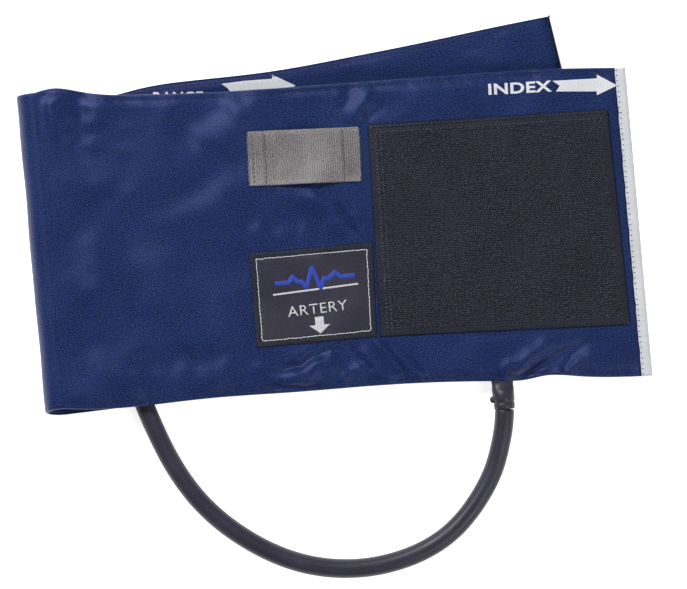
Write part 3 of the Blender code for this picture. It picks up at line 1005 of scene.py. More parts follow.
RUBBER = Finish(
    "tube_rubber", (38, 37, 51), (60, 59, 74), pitch=0.0016, relief=0.00001, speck_size=0.0012,
    speck_share=0.3, roughness=0.44, roughness_swing=0.08, specular=0.35, lint=0.3, slub=0.6,
)
FILM = Finish(
    "bladder_film", (40, 42, 48), (60, 62, 68), pitch=0.002, relief=0.00002, roughness=0.4, lint=0.0,
)
PLASTIC = Finish(
    "connector_plastic", (188, 190, 192), (214, 216, 217), pitch=0.003, relief=0.00001, speck_size=0.002,
    roughness=0.32, specular=0.5, lint=0.0,
)


@dataclass(frozen=True)
class Ink:
    """Printed or stitched marks in one colour, a little worn where the cloth's threads stand up."""

    name: str
    slot: str
    colour: tuple[int, int, int]
    worn: tuple[int, int, int]
    thread_pitch: float
    relief: float

    def material(self) -> bpy.types.Material:
        """Builds the ink's material, once."""
        ready = bpy.data.materials.get(self.name)
        if ready is not None:
            return ready
        made, shader = new_material(self.name)
        nodes = Nodes(made.node_tree)
        cut = nodes.cut()
        grain = nodes.effect(EFFECTS.grain, Cut=cut, Size=0.0005)
        weave = nodes.effect(EFFECTS.weave, Cut=cut, Pitch=self.thread_pitch, Slub=0.5)
        worn = nodes.span(grain.outputs["Specks"], 0.62, 1.0, 0.0, 0.6)
        nodes.feed(shader.inputs["Base Color"], nodes.mix(worn, linear(*self.colour), linear(*self.worn)))
        nodes.feed(shader.inputs["Roughness"], nodes.span(grain.outputs["Drift"], 0.0, 1.0, 0.45, 0.65))
        nodes.feed(shader.inputs["Normal"], nodes.bump(weave.outputs["Height"], self.relief))
        return made


WHITE_INK = Ink("white_ink", "navy_nylon", (226, 228, 232), (178, 184, 204), 0.00042, 0.00004)
WHITE_STITCH = Ink("white_satin_stitch", "white_thread", (214, 214, 220), (150, 150, 162), 0.0004, 0.0001)
BLUE_STITCH = Ink("blue_satin_stitch", "label_satin", (34, 66, 178), (20, 34, 96), 0.0004, 0.0001)


# ---- Cloth panels ----


@dataclass
class Panels:
    """The outer and inner nylon: each a sheet round the fold and a sheet over the leaf."""

    cloth: LeafCloth
    tail_columns: int = 80
    fold_columns: int = 20
    leaf_columns: int = 230
    rows: int = 120
    leaf_roll: float = 0.0011
    tail_roll: float = 0.0006
    outer_gap: float = 0.0002
    inner_inset: float = 0.0006
    outer_sweep: float = math.radians(150)
    inner_sweep: float = math.radians(60)
    bladder_grid: tuple[int, int] = (110, 60)
    film: float = 0.0002
    film_reach: float = 0.0024

    def shares(self) -> Array:
        """The shares of the width at the rows, closer together near the edges."""
        t = np.linspace(0, 1, self.rows)
        return t - 0.08 * np.sin(math.tau * t)

    def inset_plan(self, leaf: Leaf, u: Array, radius: Array | float) -> Array:
        """Plan points of a sheet that stops this far inside the leaf's long edges."""
        plan = leaf.plan(u[:, None], self.shares()[None])
        middle = plan[..., 1].mean(axis=1, keepdims=True)
        half = np.ptp(plan[..., 1], axis=1)[:, None] / 2
        radius = np.broadcast_to(np.asarray(radius, float), u.shape)[:, None]
        plan[..., 1] = middle + (plan[..., 1] - middle) * (half - radius) / half
        return plan

    def fold_part(self, radius: float, centre: Array, roll: Array, insets: float) -> Array:
        """World points of a half turn of cloth from the tail up to the leaf.

        Args:
            radius: The turn's radius.
            centre: The x and z of its centre in the table's axes.
            roll: Each column's roll radius.
            insets: How far inside the outer sheet's edges this one stops.

        Returns:
            (columns, rows, 3) points.
        """
        turns = np.linspace(0, math.pi + LEAF_TILT, self.fold_columns)
        share = smooth(turns / turns[-1])
        ends = [blend_of(a, b, share) for a, b in zip(TAIL.edges(np.zeros(1)), FRONT.edges(np.zeros(1)))]
        bottom, top = ends[0] + roll + insets, ends[1] - roll - insets
        y = blend_of(bottom[:, None], top[:, None], self.shares()[None])
        bulge = 1 + 0.03 * np.sin(turns)[:, None] * ripple(y, 0.06, 8)
        x = centre[0] - radius * bulge * np.sin(turns)[:, None]
        z = centre[1] - radius * np.cos(turns)[:, None] * np.ones_like(y)
        return TABLE.to_world(np.stack([x, y, z], -1))

    def tail_lift(self, plan: Array) -> Array:
        """How far the tail's inner face stands off its flat place."""
        x, y = plan[..., 0], plan[..., 1]
        end = TAIL.corners[3, 0]
        waves = 0.00035 * (1 + ripple(x + 0.5 * y, 0.043, 11) * ripple(y - 0.3 * x, 0.036, 12))
        folds = sum(one.at(x, y) for one in TAIL_CREASES)
        hem = -0.0004 * np.exp(-(((self.from_end(plan) - TAIL_HEM) / 0.0008) ** 2))
        fade = smooth((end - x) / 0.002) * smooth((x - FOLD_CENTRE) / 0.01)
        _, v = TAIL.shares(x, y)
        near_edge = smooth(np.minimum(v, 1 - v) * 0.145 / 0.005)
        return (waves + folds) * fade * near_edge + hem

    def from_end(self, plan: Array) -> Array:
        """How far each point of the tail is from the tail's end."""
        a, b = TAIL.corners[2], TAIL.corners[3]
        along = unit(b - a)
        return np.abs((plan[..., 0] - a[0]) * along[1] - (plan[..., 1] - a[1]) * along[0])

    def outer_columns(self) -> tuple[Array, Array, Array]:
        """The outer nylon's points from the tail's end round to the leaf's end.

        Returns:
            The points, each column's direction into the cuff, and each column's roll radius.
        """
        u = np.linspace(1, 0, self.tail_columns)[:-1]
        tail = self.inset_plan(TAIL, u, self.tail_roll)
        tail = TABLE.to_world(np.dstack([tail, np.full(tail.shape[:2], self.outer_gap)]))
        roll = blend_of(self.tail_roll, self.leaf_roll, smooth(np.linspace(0, 1, self.fold_columns)))
        radius = FOLD_RADIUS - self.outer_gap
        turns = np.linspace(0, math.pi + LEAF_TILT, self.fold_columns)
        fold = self.fold_part(radius, np.array((FOLD_CENTRE, FOLD_RADIUS)), roll, 0.0)
        u = np.linspace(0, 1, self.leaf_columns)[1:]
        plan = self.inset_plan(FRONT, u, self.leaf_roll)
        rise = self.cloth.rise(plan[..., 0], plan[..., 1]) - 0.0004 * smooth((u - 0.985) / 0.015)[:, None]
        join = self.outer_gap * (1 - smooth(u / 0.03))[:, None]
        leaf = LEAF.to_world(np.dstack([plan, LEAF_TOP + rise - join]))
        inward = np.concatenate([
            np.tile(TABLE.rows[2], (len(tail), 1)),
            np.outer(np.sin(turns), TABLE.rows[0]) + np.outer(np.cos(turns), TABLE.rows[2]),
            np.tile(-LEAF.rows[2], (len(leaf), 1)),
        ])
        tail_rolls, leaf_rolls = np.full(len(tail), self.tail_roll), np.full(len(leaf), self.leaf_roll)
        rolls = np.concatenate([tail_rolls, roll, leaf_rolls])
        return np.concatenate([tail, fold, leaf]), inward, rolls

    def turning_shares(self, rows: int) -> Array:
        """How much of the fold's turn each point of a wrap takes: none on the tail, all at the leaf."""
        arc = np.linspace(0, 1, self.fold_columns)
        share = np.concatenate([np.zeros(self.tail_columns - 1), arc, np.ones(1)])
        return np.repeat(share, rows)

    def bend_round_fold(self, obj: Piece, share: Array) -> None:
        """Bakes a sheet's transform into its mesh."""
        start, end = Vector(LEAF.origin), Vector(LEAF.origin + LEAF.rows[0])
        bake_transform(obj)

    def panel(self, name: str, points: Array, cut: Array | None = None, flip: bool = False) -> Piece:
        """A sheet of nylon through these points, with its thickness."""
        weaver = Weaver()
        weaver.grid(points, cut, flip)
        obj = thickened(weaver.make(name, NYLON.material()), CLOTH)
        return obj

    def make_outer(self) -> list[Piece]:
        """The outer nylon: its wrap over the tail and the fold, and the leaf's cover."""
        points, inward, rolls = self.outer_columns()
        sheet = rolled(points, inward, rolls, self.outer_sweep)
        out, up = TABLE.rows[0] * self.tail_roll, TABLE.rows[2] * self.tail_roll
        turned_up = np.stack([
            sheet[0] + out * math.sin(turn) + up * (1 - math.cos(turn))
            for turn in np.radians((140, 105, 70, 35))
        ])
        split = self.tail_columns - 1 + self.fold_columns
        wrap = np.concatenate([turned_up, sheet[: split + 1]])
        wrap[-1] -= LEAF.rows[2] * 0.00003
        cover = sheet[split - 1 :]
        rows = sheet.shape[1]
        under = self.panel("outer_nylon_wrap", wrap)
        share = np.concatenate([np.zeros(len(turned_up) * rows), self.turning_shares(rows)])
        self.bend_round_fold(under, share)
        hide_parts("outer_panel_tail", "fold_web_outer")
        obj = self.panel("outer_nylon_cover", cover, cut=measured(sheet)[split - 1 :])
        self.cloth.sew(obj, LEAF.to_local(cover.reshape(-1, 3))[:, :2])
        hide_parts("outer_panel_front")
        return [under, obj]

    def inner_columns(self) -> tuple[Array, Array, Array]:
        """The inner nylon's visible face from the tail's end round to the leaf's end."""
        inset = self.inner_inset
        tail_top = TABLE.span("inner_panel_tail", 2)[1]
        face = LEAF.span("inner_panel_front", 2)[0]
        u = np.linspace(1, 0, self.tail_columns)[:-1]
        plan = self.inset_plan(TAIL, u, self.tail_roll + inset)
        plan[..., 0] -= 0.0006 * u[:, None]
        tail = TABLE.to_world(np.dstack([plan, tail_top + self.tail_lift(plan)]))
        turns = np.linspace(0, math.pi + LEAF_TILT, self.fold_columns)
        radius = (FOLD_RADIUS + face - tail_top) / 2
        centre = np.array((FOLD_CENTRE, tail_top + radius))
        fold = self.fold_part(radius, centre, np.full(self.fold_columns, self.tail_roll), inset)
        u = np.linspace(0, 1, self.leaf_columns // 2)[1:]
        plan = self.inset_plan(FRONT, u, self.leaf_roll + inset)
        x, y = plan[..., 0], plan[..., 1]
        sway = 0.0002 * ripple(x, 0.05, 21) * ripple(y, 0.04, 22) * smooth((x - FOLD_CENTRE) / 0.01)
        leaf = LEAF.to_world(np.dstack([plan, face - 0.0002 * smooth((x - FOLD_CENTRE) / 0.01) + sway]))
        inward = np.concatenate([
            np.tile(-TABLE.rows[2], (len(tail), 1)),
            -np.outer(np.sin(turns), TABLE.rows[0]) - np.outer(np.cos(turns), TABLE.rows[2]),
            np.tile(LEAF.rows[2], (len(leaf), 1)),
        ])
        points = np.concatenate([tail, fold, leaf])
        return points, inward, np.full(len(points), self.tail_roll)

    def make_inner(self) -> list[Piece]:
        """The inner nylon: its wrap over the tail and the fold, and the leaf's lining."""
        points, inward, rolls = self.inner_columns()
        sheet = rolled(points, inward, rolls, self.inner_sweep)
        split = self.tail_columns - 1 + self.fold_columns
        wrap = self.panel("inner_nylon_wrap", sheet[: split + 1], flip=True)
        self.bend_round_fold(wrap, self.turning_shares(sheet.shape[1]))
        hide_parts("inner_panel_tail", "fold_web_inner")
        lining = self.panel("inner_nylon_lining", sheet[split - 1 :], flip=True)
        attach(lining, Body.LEAF.value)
        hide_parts("inner_panel_front")
        return [wrap, lining]

    def make_bladder(self) -> list[Piece]:
        """The bladder between the two nylons: two sheets of film welded round their rim."""
        corners = LEAF.corners("bladder_upper_sheet")
        low = LEAF.span("bladder_lower_sheet", 2)[0]
        high = LEAF.span("bladder_upper_sheet", 2)[1]
        a, b = lattice(*self.bladder_grid)
        plan = quad_plan(corners, a, b)
        rim = smooth(np.minimum.reduce([a, 1 - a, b * 0.5, (1 - b) * 0.5]) / 0.05)
        middle = (low + high) / 2
        weaver = Weaver()
        half = (high - low) / 2 - 0.0002
        shifts = np.array(((0, 0), (1, 0), (-1, 0), (0, 1), (0, -1))) * self.film_reach
        rises = [self.cloth.rise(plan[..., 0] + x, plan[..., 1] + y) for x, y in shifts]
        under = LEAF_TOP + np.minimum.reduce(rises) - CLOTH - 0.0003
        upper = np.minimum(middle + half * rim + 0.0001, under)
        weaver.grid(np.dstack([plan, upper]))
        weaver.grid(np.dstack([plan, np.minimum(middle - half * rim - 0.0001, upper - 0.0002)]), flip=True)
        obj = thickened(weaver.make("air_bladder", FILM.material(), LEAF.to_world), self.film)
        plan = plan.reshape(-1, 2)
        self.cloth.sew(obj, np.concatenate([plan, plan]))
        share = np.zeros(len(obj.data.vertices), np.float32)
        count = len(plan)
        share[:count] = self.cloth.swell(plan[:, 0], plan[:, 1]) * rim.ravel()
        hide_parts("bladder_upper_sheet", "bladder_lower_sheet")
        return [obj]

    def build(self) -> list[Piece]:
        """Every panel and the bladder."""
        return self.make_outer() + self.make_inner() + self.make_bladder()


TAIL_HEM = 0.0095
TAIL_CREASES = (
    crease(206, 78, 222, 70, 0.5, 3.5),
    crease(222, 84, 234, 74, 0.6, 3.0),
    crease(228, 78, 236, 70, -0.4, 2.0),
    crease(196, 82, 214, 76, -0.35, 2.5),
    crease(150, 76, 176, 74, 0.4, 4.0),
    crease(60, 72, 110, 74, 0.3, 3.0),
)


# ---- Stitches ----


def stitch_pattern(radius: float) -> Pattern:
    """One stitch, a metre long along x before it is stretched, that dips in at both ends."""
    at = np.linspace(-0.5, 0.5, 7)
    rise = radius * (0.9 - 1.9 * np.abs(at * 2) ** 3)
    swell = radius * (1 - 0.45 * np.abs(at * 2) ** 2)
    path = np.stack([at, rise], 1)
    turns = np.arange(6) * math.tau / 6
    points = [(x, math.sin(t) * r, z + math.cos(t) * r) for (x, z), r in zip(path, swell) for t in turns]
    faces = [
        (i * 6 + k, i * 6 + (k + 1) % 6, (i + 1) * 6 + (k + 1) % 6, (i + 1) * 6 + k)
        for i in range(6)
        for k in range(6)
    ]
    faces = [face[::-1] for face in faces] + [tuple(range(6)), tuple(36 + k for k in range(6))[::-1]]
    return Pattern(np.array(points), tuple(faces), np.array(points)[:, :2] * (0.002, 1.0))


@dataclass
class Seam:
    """A line of stitches.

    The line's points are plan points with a height above the cloth.
    """

    line: Array
    length: float = 0.0021
    gap: float = 0.0007
    radius: float = 0.00019
    wander: float = 0.00006
    seed: int = 1

    def woven(self) -> Weaver:
        """The seam's stitches by themselves."""
        weaver = Weaver()
        self.weave(weaver)
        return weaver

    def weave(self, weaver: Weaver) -> None:
        """Adds the seam's stitches."""
        pitch = self.length + self.gap
        points = along_polyline(self.line, pitch)
        a, b = points[:-1], points[1:]
        step = b - a
        turns = np.arctan2(step[:, 1], step[:, 0])
        rng = np.random.default_rng(self.seed)
        middle = (a + b) / 2
        side = np.stack([-np.sin(turns), np.cos(turns)], 1)
        middle[:, :2] += side * rng.normal(0, self.wander, len(middle))[:, None]
        turns = turns + rng.normal(0, 0.05, len(turns))
        stretch = np.linalg.norm(step[:, :2], axis=1) * self.length / pitch
        stretch = stretch * rng.uniform(0.94, 1.04, len(turns))
        weaver.scatter(stitch_pattern(self.radius), middle, turns, stretch)


def straight(a: Sequence[float], b: Sequence[float], height: float = 0.0, spacing: float = 0.002) -> Array:
    """Points along a straight line at one height above the cloth."""
    line = np.array([(*a[:2], height), (*b[:2], height)])
    return along_polyline(line, spacing)


def ring_of(corners: Array, inset: float, height: float) -> Array:
    """A closed line this far inside four corners."""
    moved = inset_corners(corners, inset)
    loop = np.concatenate([moved, moved[:1]])
    return np.column_stack([loop, np.full(5, height)])


def inset_corners(corners: Array, distance: float) -> Array:
    """Four corners moved inwards by this distance from both of their edges."""
    moved = []
    for i, here in enumerate(corners):
        back, ahead = unit(corners[i - 1] - here), unit(corners[(i + 1) % 4] - here)
        sine = abs(back[0] * ahead[1] - back[1] * ahead[0])
        moved.append(here + (back + ahead) * distance / sine)
    return np.array(moved)


@dataclass
class LeafSeams:
    """The stitches along the cuff's edges and hem."""

    cloth: LeafCloth
    panels: Panels
    edge_inset: float = 0.0024

    def edge_line(self, leaf: Leaf, top: bool, start: float, end: float) -> Array:
        """Plan points along a leaf's long edge, this seam's distance inside it."""
        u = np.linspace(start, end, 260)
        bottom, high = leaf.edges(u)
        from_bottom = high - self.edge_inset - bottom if top else self.edge_inset
        v = from_bottom / (high - bottom)
        return np.column_stack([leaf.plan(u, v), np.zeros(len(u))])

    def on_leaf(self, name: str, top: bool, node: str) -> Piece:
        """The seam along one long edge of the bladder leaf."""
        weaver = Seam(self.edge_line(FRONT, top, 0.012, 0.992), seed=11 + top).woven()
        obj = self.cloth.piece(weaver, name, NAVY_THREAD)
        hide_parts(node)
        return obj

    def over_tail(self, points: Array) -> Array:
        """World places of points given as table x, table y and height above the tail's inner face."""
        top = TABLE.span("inner_panel_tail", 2)[1]
        z = top + self.panels.tail_lift(points[:, None, :2])[:, 0] + points[:, 2]
        return TABLE.to_world(np.column_stack([points[:, :2], z]))

    def on_tail(self, name: str, line: Array, node: str, seed: int) -> Piece:
        """A seam on the tail's inner face."""
        weaver = Seam(line, seed=seed).woven()
        obj = weaver.make(name, NAVY_THREAD.material(), self.over_tail)
        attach(obj, Body.TAIL.value)
        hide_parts(node)
        return obj

    def build(self) -> list[Piece]:
        """The leaf's two edge seams, the tail's two and the hem's."""
        a, b = TAIL.corners[3], TAIL.corners[2]
        back = np.array((b[1] - a[1], a[0] - b[0]))
        back *= math.copysign(TAIL_HEM, -back[0]) / np.linalg.norm(back)
        along = unit(b - a)
        hem = straight(a + back + along * 0.002, b + back - along * 0.002)
        top, bottom = (self.edge_line(TAIL, side, 0.01, 0.955) for side in (True, False))
        return [
            self.on_leaf("cover_seam_top", True, "leaf_seam_top"),
            self.on_leaf("cover_seam_bottom", False, "leaf_seam_bottom"),
            self.on_tail("wrap_seam_top", top, "tail_seam_top", 21),
            self.on_tail("wrap_seam_bottom", bottom, "tail_seam_bottom", 22),
            self.on_tail("hem_stitches", hem, "tail_hem_seam", 23),
        ]


# ---- Hook and loop ----


def lattice(columns: int, rows: int) -> tuple[Array, Array]:
    """Even shares from 0 to 1 along and across a sheet."""
    along, across = np.meshgrid(np.linspace(0, 1, columns), np.linspace(0, 1, rows), indexing="ij")
    return along, across


def quad_plan(corners: Array, a: Array, b: Array) -> Array:
    """Plan points in a four-cornered patch: a along the cuff and b from its bottom to its top."""
    top_left, bottom_left, bottom_right, top_right = corners
    left = blend_of(bottom_left, top_left, b[..., None])
    right = blend_of(bottom_right, top_right, b[..., None])
    return blend_of(left, right, a[..., None])


def sides_of(corners: Array) -> Plan:
    """A four-cornered patch's width and height."""
    first, below, _, beside = corners
    return float(np.linalg.norm(beside - first)), float(np.linalg.norm(below - first))


def patch_grid(corners: Array, columns: int, rows: int) -> tuple[Array, Array]:
    """The plan points of a patch, and how far each of them is from its nearest edge."""
    a, b = lattice(columns, rows)
    width, height = sides_of(corners)
    from_edge = np.minimum.reduce([a * width, (1 - a) * width, b * height, (1 - b) * height])
    return quad_plan(corners, a, b), from_edge


def hook_pattern() -> Pattern:
    """One hook: a stiff stem that turns over at its tip."""
    path = np.array([(-0.52, -0.10), (-0.56, 0.34), (-0.3, 0.60), (0.2, 0.68), (0.60, 0.46)]) * MM
    return rod(path, (0.14 * MM, 0.15 * MM, 0.15 * MM, 0.15 * MM, 0.10 * MM), 3)


def loop_pattern() -> Pattern:
    """One loop of the soft tape's pile."""
    turns = np.linspace(0, math.pi, 6)
    path = np.stack([-np.cos(turns) * 0.75, np.sin(turns) * 0.55 - 0.08], 1) * MM
    return rod(path, [0.10 * MM] * 6, 3)


@dataclass
class TapePatch:
    """A patch of hook or loop tape: woven ground with a plain border, and its field of pile."""

    name: str
    corners: Array
    finish: Finish
    pattern: Pattern
    row_pitch: float
    pile_pitch: float
    turn: float
    border: float
    border_height: float
    ground_height: float
    pile_finish: Finish
    ribs: int = 0
    parts: int = 1

    def ground(self, weaver: Weaver) -> None:
        """The woven ground: lower round its border, and turned down at its very edge."""
        plan, from_edge = patch_grid(self.corners, 120, 110)
        z = blend_of(self.border_height, self.ground_height, smooth((from_edge - self.border) / 0.0006))
        z = z - 0.00025 * (from_edge < 0.0003)
        z = z + 0.00004 * ripple(plan[..., 0], 0.004, 31) * ripple(plan[..., 1], 0.004, 32)
        weaver.grid(np.dstack([plan, z]))

    def pile(self, seed: int) -> list[Weaver]:
        """Rows of hooks or loops, their columns leaning by turns, in as many lumps as there are parts."""
        rng = np.random.default_rng(seed)
        field_corners = inset_corners(self.corners, self.border + 0.0009)
        width, height = sides_of(field_corners)
        rows, columns = round(height / self.row_pitch), round(width / self.pile_pitch)
        column, row = np.meshgrid(np.arange(columns), np.arange(rows), indexing="ij")
        plan = quad_plan(field_corners, (column + 0.5) / columns, (row + 0.5) / rows).reshape(-1, 2)
        plan += rng.normal(0, 0.00008, plan.shape)
        flip = np.where(column % 2 == 0, 1.0, -1.0).ravel()
        turns = flip * self.turn + rng.normal(0, 0.12, len(flip)) + np.where(row.ravel() % 2, 0, math.pi)
        places = np.column_stack([plan, np.full(len(plan), self.ground_height)])
        part = row.ravel() * self.parts // rows
        made = []
        for which in range(self.parts):
            weaver = Weaver()
            weaver.scatter(self.pattern, places[part == which], turns[part == which])
            made.append(weaver)
        return made

    def selvage(self, weaver: Weaver) -> None:
        """Close woven ribs of knots beside the first edge."""
        top, bottom = self.corners[0], self.corners[1]
        inward = unit(self.corners[3] - top)
        for rib in range(self.ribs):
            offset = inward * (self.border + 0.0008 + rib * 0.0022)
            line = straight(top + offset, bottom + offset, self.ground_height + 0.0003)[2:-2]
            Seam(line, length=0.0010, gap=0.0005, radius=0.0003, seed=60 + rib).weave(weaver)

    def make(self, place: Lay, seed: int) -> list[tuple[Piece, Array]]:
        """Makes the patch.

        Args:
            place: Turns plan points with heights above the cloth into world places.
            seed: The seed of its unevenness.

        Returns:
            Its ground and the parts of its pile, each with its points' plan.
        """
        ground = Weaver()
        self.ground(ground)
        sheet = ground.make(f"{self.name}_ground", self.finish.material(), place)
        made = [(thickened(sheet, self.border_height * 0.9), ground.all_points()[:, :2])]
        for part, weaver in enumerate(self.pile(seed)):
            if not part:
                self.selvage(weaver)
            field_piece = weaver.make(f"{self.name}_pile_{part + 1}", self.pile_finish.material(), place)
            made.append((field_piece, weaver.all_points()[:, :2]))
        return made


@dataclass
class Tapes:
    """The hook patch on the bladder leaf, the loop patch on the tail and their stitches."""

    cloth: LeafCloth
    seams: LeafSeams
    border: float = 0.0026
    seam_inset: float = 0.0013

    def build(self) -> list[Piece]:
        """Both patches and both lines of stitches."""
        hook_corners = LEAF.corners("hook_patch")
        hooks = TapePatch(
            "hook_tape", hook_corners, HOOK_TAPE, hook_pattern(), row_pitch=0.00104, pile_pitch=0.00092,
            turn=0.72, border=self.border, border_height=0.0007, ground_height=0.0009, pile_finish=HOOKS,
            ribs=2, parts=2,
        )
        made = []
        for obj, plan in hooks.make(self.cloth.over, 41):
            made.append(self.cloth.sew(obj, plan))
        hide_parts("hook_patch")
        loop_corners = TABLE.corners("loop_patch")
        loops = TapePatch(
            "loop_tape", loop_corners, LOOP_TAPE, loop_pattern(), row_pitch=0.0019, pile_pitch=0.0021,
            turn=0.9, border=self.border, border_height=0.0006, ground_height=0.0007, pile_finish=LOOP_TAPE,
        )
        piles = [obj for obj, _ in loops.make(self.seams.over_tail, 42)]
        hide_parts("loop_patch")
        weaver = Seam(ring_of(hook_corners, self.seam_inset, 0.0008), radius=0.00022, seed=43).woven()
        hook_seam = self.cloth.piece(weaver, "hook_stitches", NAVY_THREAD)
        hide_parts("hook_patch_seam")
        weaver = Seam(ring_of(loop_corners, self.seam_inset, 0.0007), radius=0.00022, seed=44).woven()
        loop_seam = weaver.make("loop_stitches", NAVY_THREAD.material(), self.seams.over_tail)
        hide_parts("loop_patch_seam")
        for obj in (*piles, loop_seam):
            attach(obj, Body.TAIL.value)
        return [*made, *piles, hook_seam, loop_seam]


# ---- The gauge strap ----


@dataclass
class GaugeStrap:
    """Grey webbing sewn down at both ends, with room for a gauge's clip under its middle."""

    cloth: LeafCloth
    rib_pitch: float = 0.00108
    rib_depth: float = 0.00052
    selvage: float = 0.0024
    sewn: float = STRAP_SEWN
    bow: float = 0.0020
    thickness: float = 0.0010
    warp_pitch: float = 0.0009
    edge_pitch: float = 0.0011
    pick_pitch: float = 0.0013
    strands: int = 46

    def size(self) -> Plan:
        """The strap's length and width."""
        return sides_of(LEAF.corners("gauge_strap"))

    def height(self, s: Array, half: float) -> Array:
        """How high the strap's underside bows above the cloth, along its length."""
        free = half - self.sewn
        return self.bow * (1 + np.cos(math.pi * np.minimum(np.abs(s) / free, 1))) / 2

    def place(self, points: Array) -> Array:
        """Plan points with heights from points along, across and above the strap."""
        corners = LEAF.corners("gauge_strap")
        along, across = unit(corners[3] - corners[0]), unit(corners[0] - corners[1])
        plan = corners.mean(axis=0) + points[:, :1] * along + points[:, 1:2] * across
        return np.column_stack([plan, points[:, 2]])

    def webbing(self) -> Piece:
        """The webbing: ribs across it, a flatter selvage along both sides and cut ends."""
        length, width = self.size()
        half, side = length / 2, width / 2
        s = np.linspace(-half, half, 420)[:, None]
        t = np.linspace(-side, side, 64)[None]
        inside = smooth((side - np.abs(t) - self.selvage + 0.0006) / 0.0008)
        rib = np.abs(np.cos(math.pi * (s + 0.00006 * ripple(t, 0.004, 5)) / self.rib_pitch))
        pick = 0.5 + 0.5 * np.cos(math.tau * t / self.warp_pitch + math.pi * np.round(s / self.rib_pitch))
        body = self.rib_depth * (rib**0.7 - 1) + 0.00007 * pick * rib
        weft = 0.5 + 0.5 * np.cos(math.tau * t / self.edge_pitch)
        edge_rows = 0.00014 * (weft - 1) + 0.00008 * np.cos(math.tau * s / self.pick_pitch + 3 * weft)
        z = self.thickness + self.height(s, half) + blend_of(edge_rows, body, inside)
        z = z - 0.0003 * smooth((np.abs(t) - side + 0.0005) / 0.0005) + 0.0001
        seam_at = half - self.sewn
        z = z - 0.0003 * np.exp(-(((np.abs(s) - seam_at) / 0.0006) ** 2))
        ragged = 0.00016 * ripple(t, 0.0016, 7)
        x = s + ragged * smooth((np.abs(s) - half + 0.001) / 0.001) * np.sign(s)
        y = np.broadcast_to(t, x.shape) * (1 + 0.006 * ripple(s, 0.02, 9))
        weaver = Weaver()
        weaver.grid(np.dstack([x, y, z]))
        weaver.move(self.place)
        obj = self.cloth.piece(weaver, "gauge_webbing", WEBBING, self.thickness)
        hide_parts("gauge_strap")
        return obj

    def frayed_ends(self) -> Piece:
        """Short ends of thread that stand out of the cut ends."""
        length, width = self.size()
        rng = np.random.default_rng(51)
        weaver = Weaver()
        count = self.strands
        at = np.linspace(-0.48, 0.48, count) * width
        strand = stitch_pattern(0.00009)
        for end in (-1, 1):
            x = end * (length / 2 + rng.uniform(-0.0001, 0.0005, count))
            z = rng.uniform(0.0006, 0.0010, count)
            turns = rng.normal(0, 0.35, count)
            weaver.scatter(strand, np.column_stack([x, at, z]), turns, rng.uniform(0.0009, 0.0020, count))
        weaver.move(self.place)
        return self.cloth.piece(weaver, "webbing_fray", WEBBING)

    def seam(self, name: str, side: int, node: str) -> Piece:
        """The line of stitches across one end, and on the left a second line at the cut end."""
        length, width = self.size()
        half, reach = length / 2, width / 2 - 0.0010
        top = self.thickness + 0.00005
        weaver = Weaver()
        inner = half - self.sewn
        for seed, (at, pitch) in enumerate(((inner, 0.0015), (half - 0.0019, 0.0017))):
            if seed and side > 0:
                continue
            line = straight((side * at, -reach), (side * at, reach), top)
            Seam(line, length=pitch, gap=0.0004, radius=0.0002, seed=53 + seed).weave(weaver)
        weaver.move(self.place)
        obj = self.cloth.piece(weaver, name, GREY_THREAD)
        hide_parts(node)
        return obj

    def build(self) -> list[Piece]:
        """The webbing, its frayed ends and its two seams."""
        return [
            self.webbing(),
            self.frayed_ends(),
            self.seam("webbing_stitches_left", -1, "gauge_strap_seam_left"),
            self.seam("webbing_stitches_right", 1, "gauge_strap_seam_right"),
        ]


# ---- Marks: letters, arrows and stitched lines ----


@dataclass(frozen=True)
class Lump:
    """A thin solid: plan points with heights, and its faces."""

    points: Array
    faces: tuple[tuple[int, ...], ...]


def lump_of(mesh: bmesh.types.BMesh, longest: float = 0.0012) -> Lump:
    """The mesh as a lump, cut up until no edge is longer than this, so that it can follow cloth."""
    for _ in range(3):
        long = [edge for edge in mesh.edges if edge.calc_length() > longest]
        if not long:
            break
        bmesh.ops.subdivide_edges(mesh, edges=long, cuts=1)
        bmesh.ops.triangulate(mesh, faces=[face for face in mesh.faces if len(face.verts) > 4])
    mesh.verts.ensure_lookup_table()
    mesh.verts.index_update()
    points = np.array([vert.co for vert in mesh.verts], float)
    faces = tuple(tuple(vert.index for vert in face.verts) for face in mesh.faces)
    mesh.free()
    return Lump(points, faces)


@dataclass(frozen=True)
class Spot:
    """A place in a plan: a middle, a width, a height and a turn in degrees."""

    middle: Plan
    width: float
    height: float
    turn: float = 0.0

    def carry(self, unit: Array) -> Array:
        """Plan points from points that span -0.5 to 0.5 each way."""
        c, s = math.cos(math.radians(self.turn)), math.sin(math.radians(self.turn))
        x, y = unit[:, 0] * self.width, unit[:, 1] * self.height
        return np.column_stack([self.middle[0] + x * c - y * s, self.middle[1] + x * s + y * c])


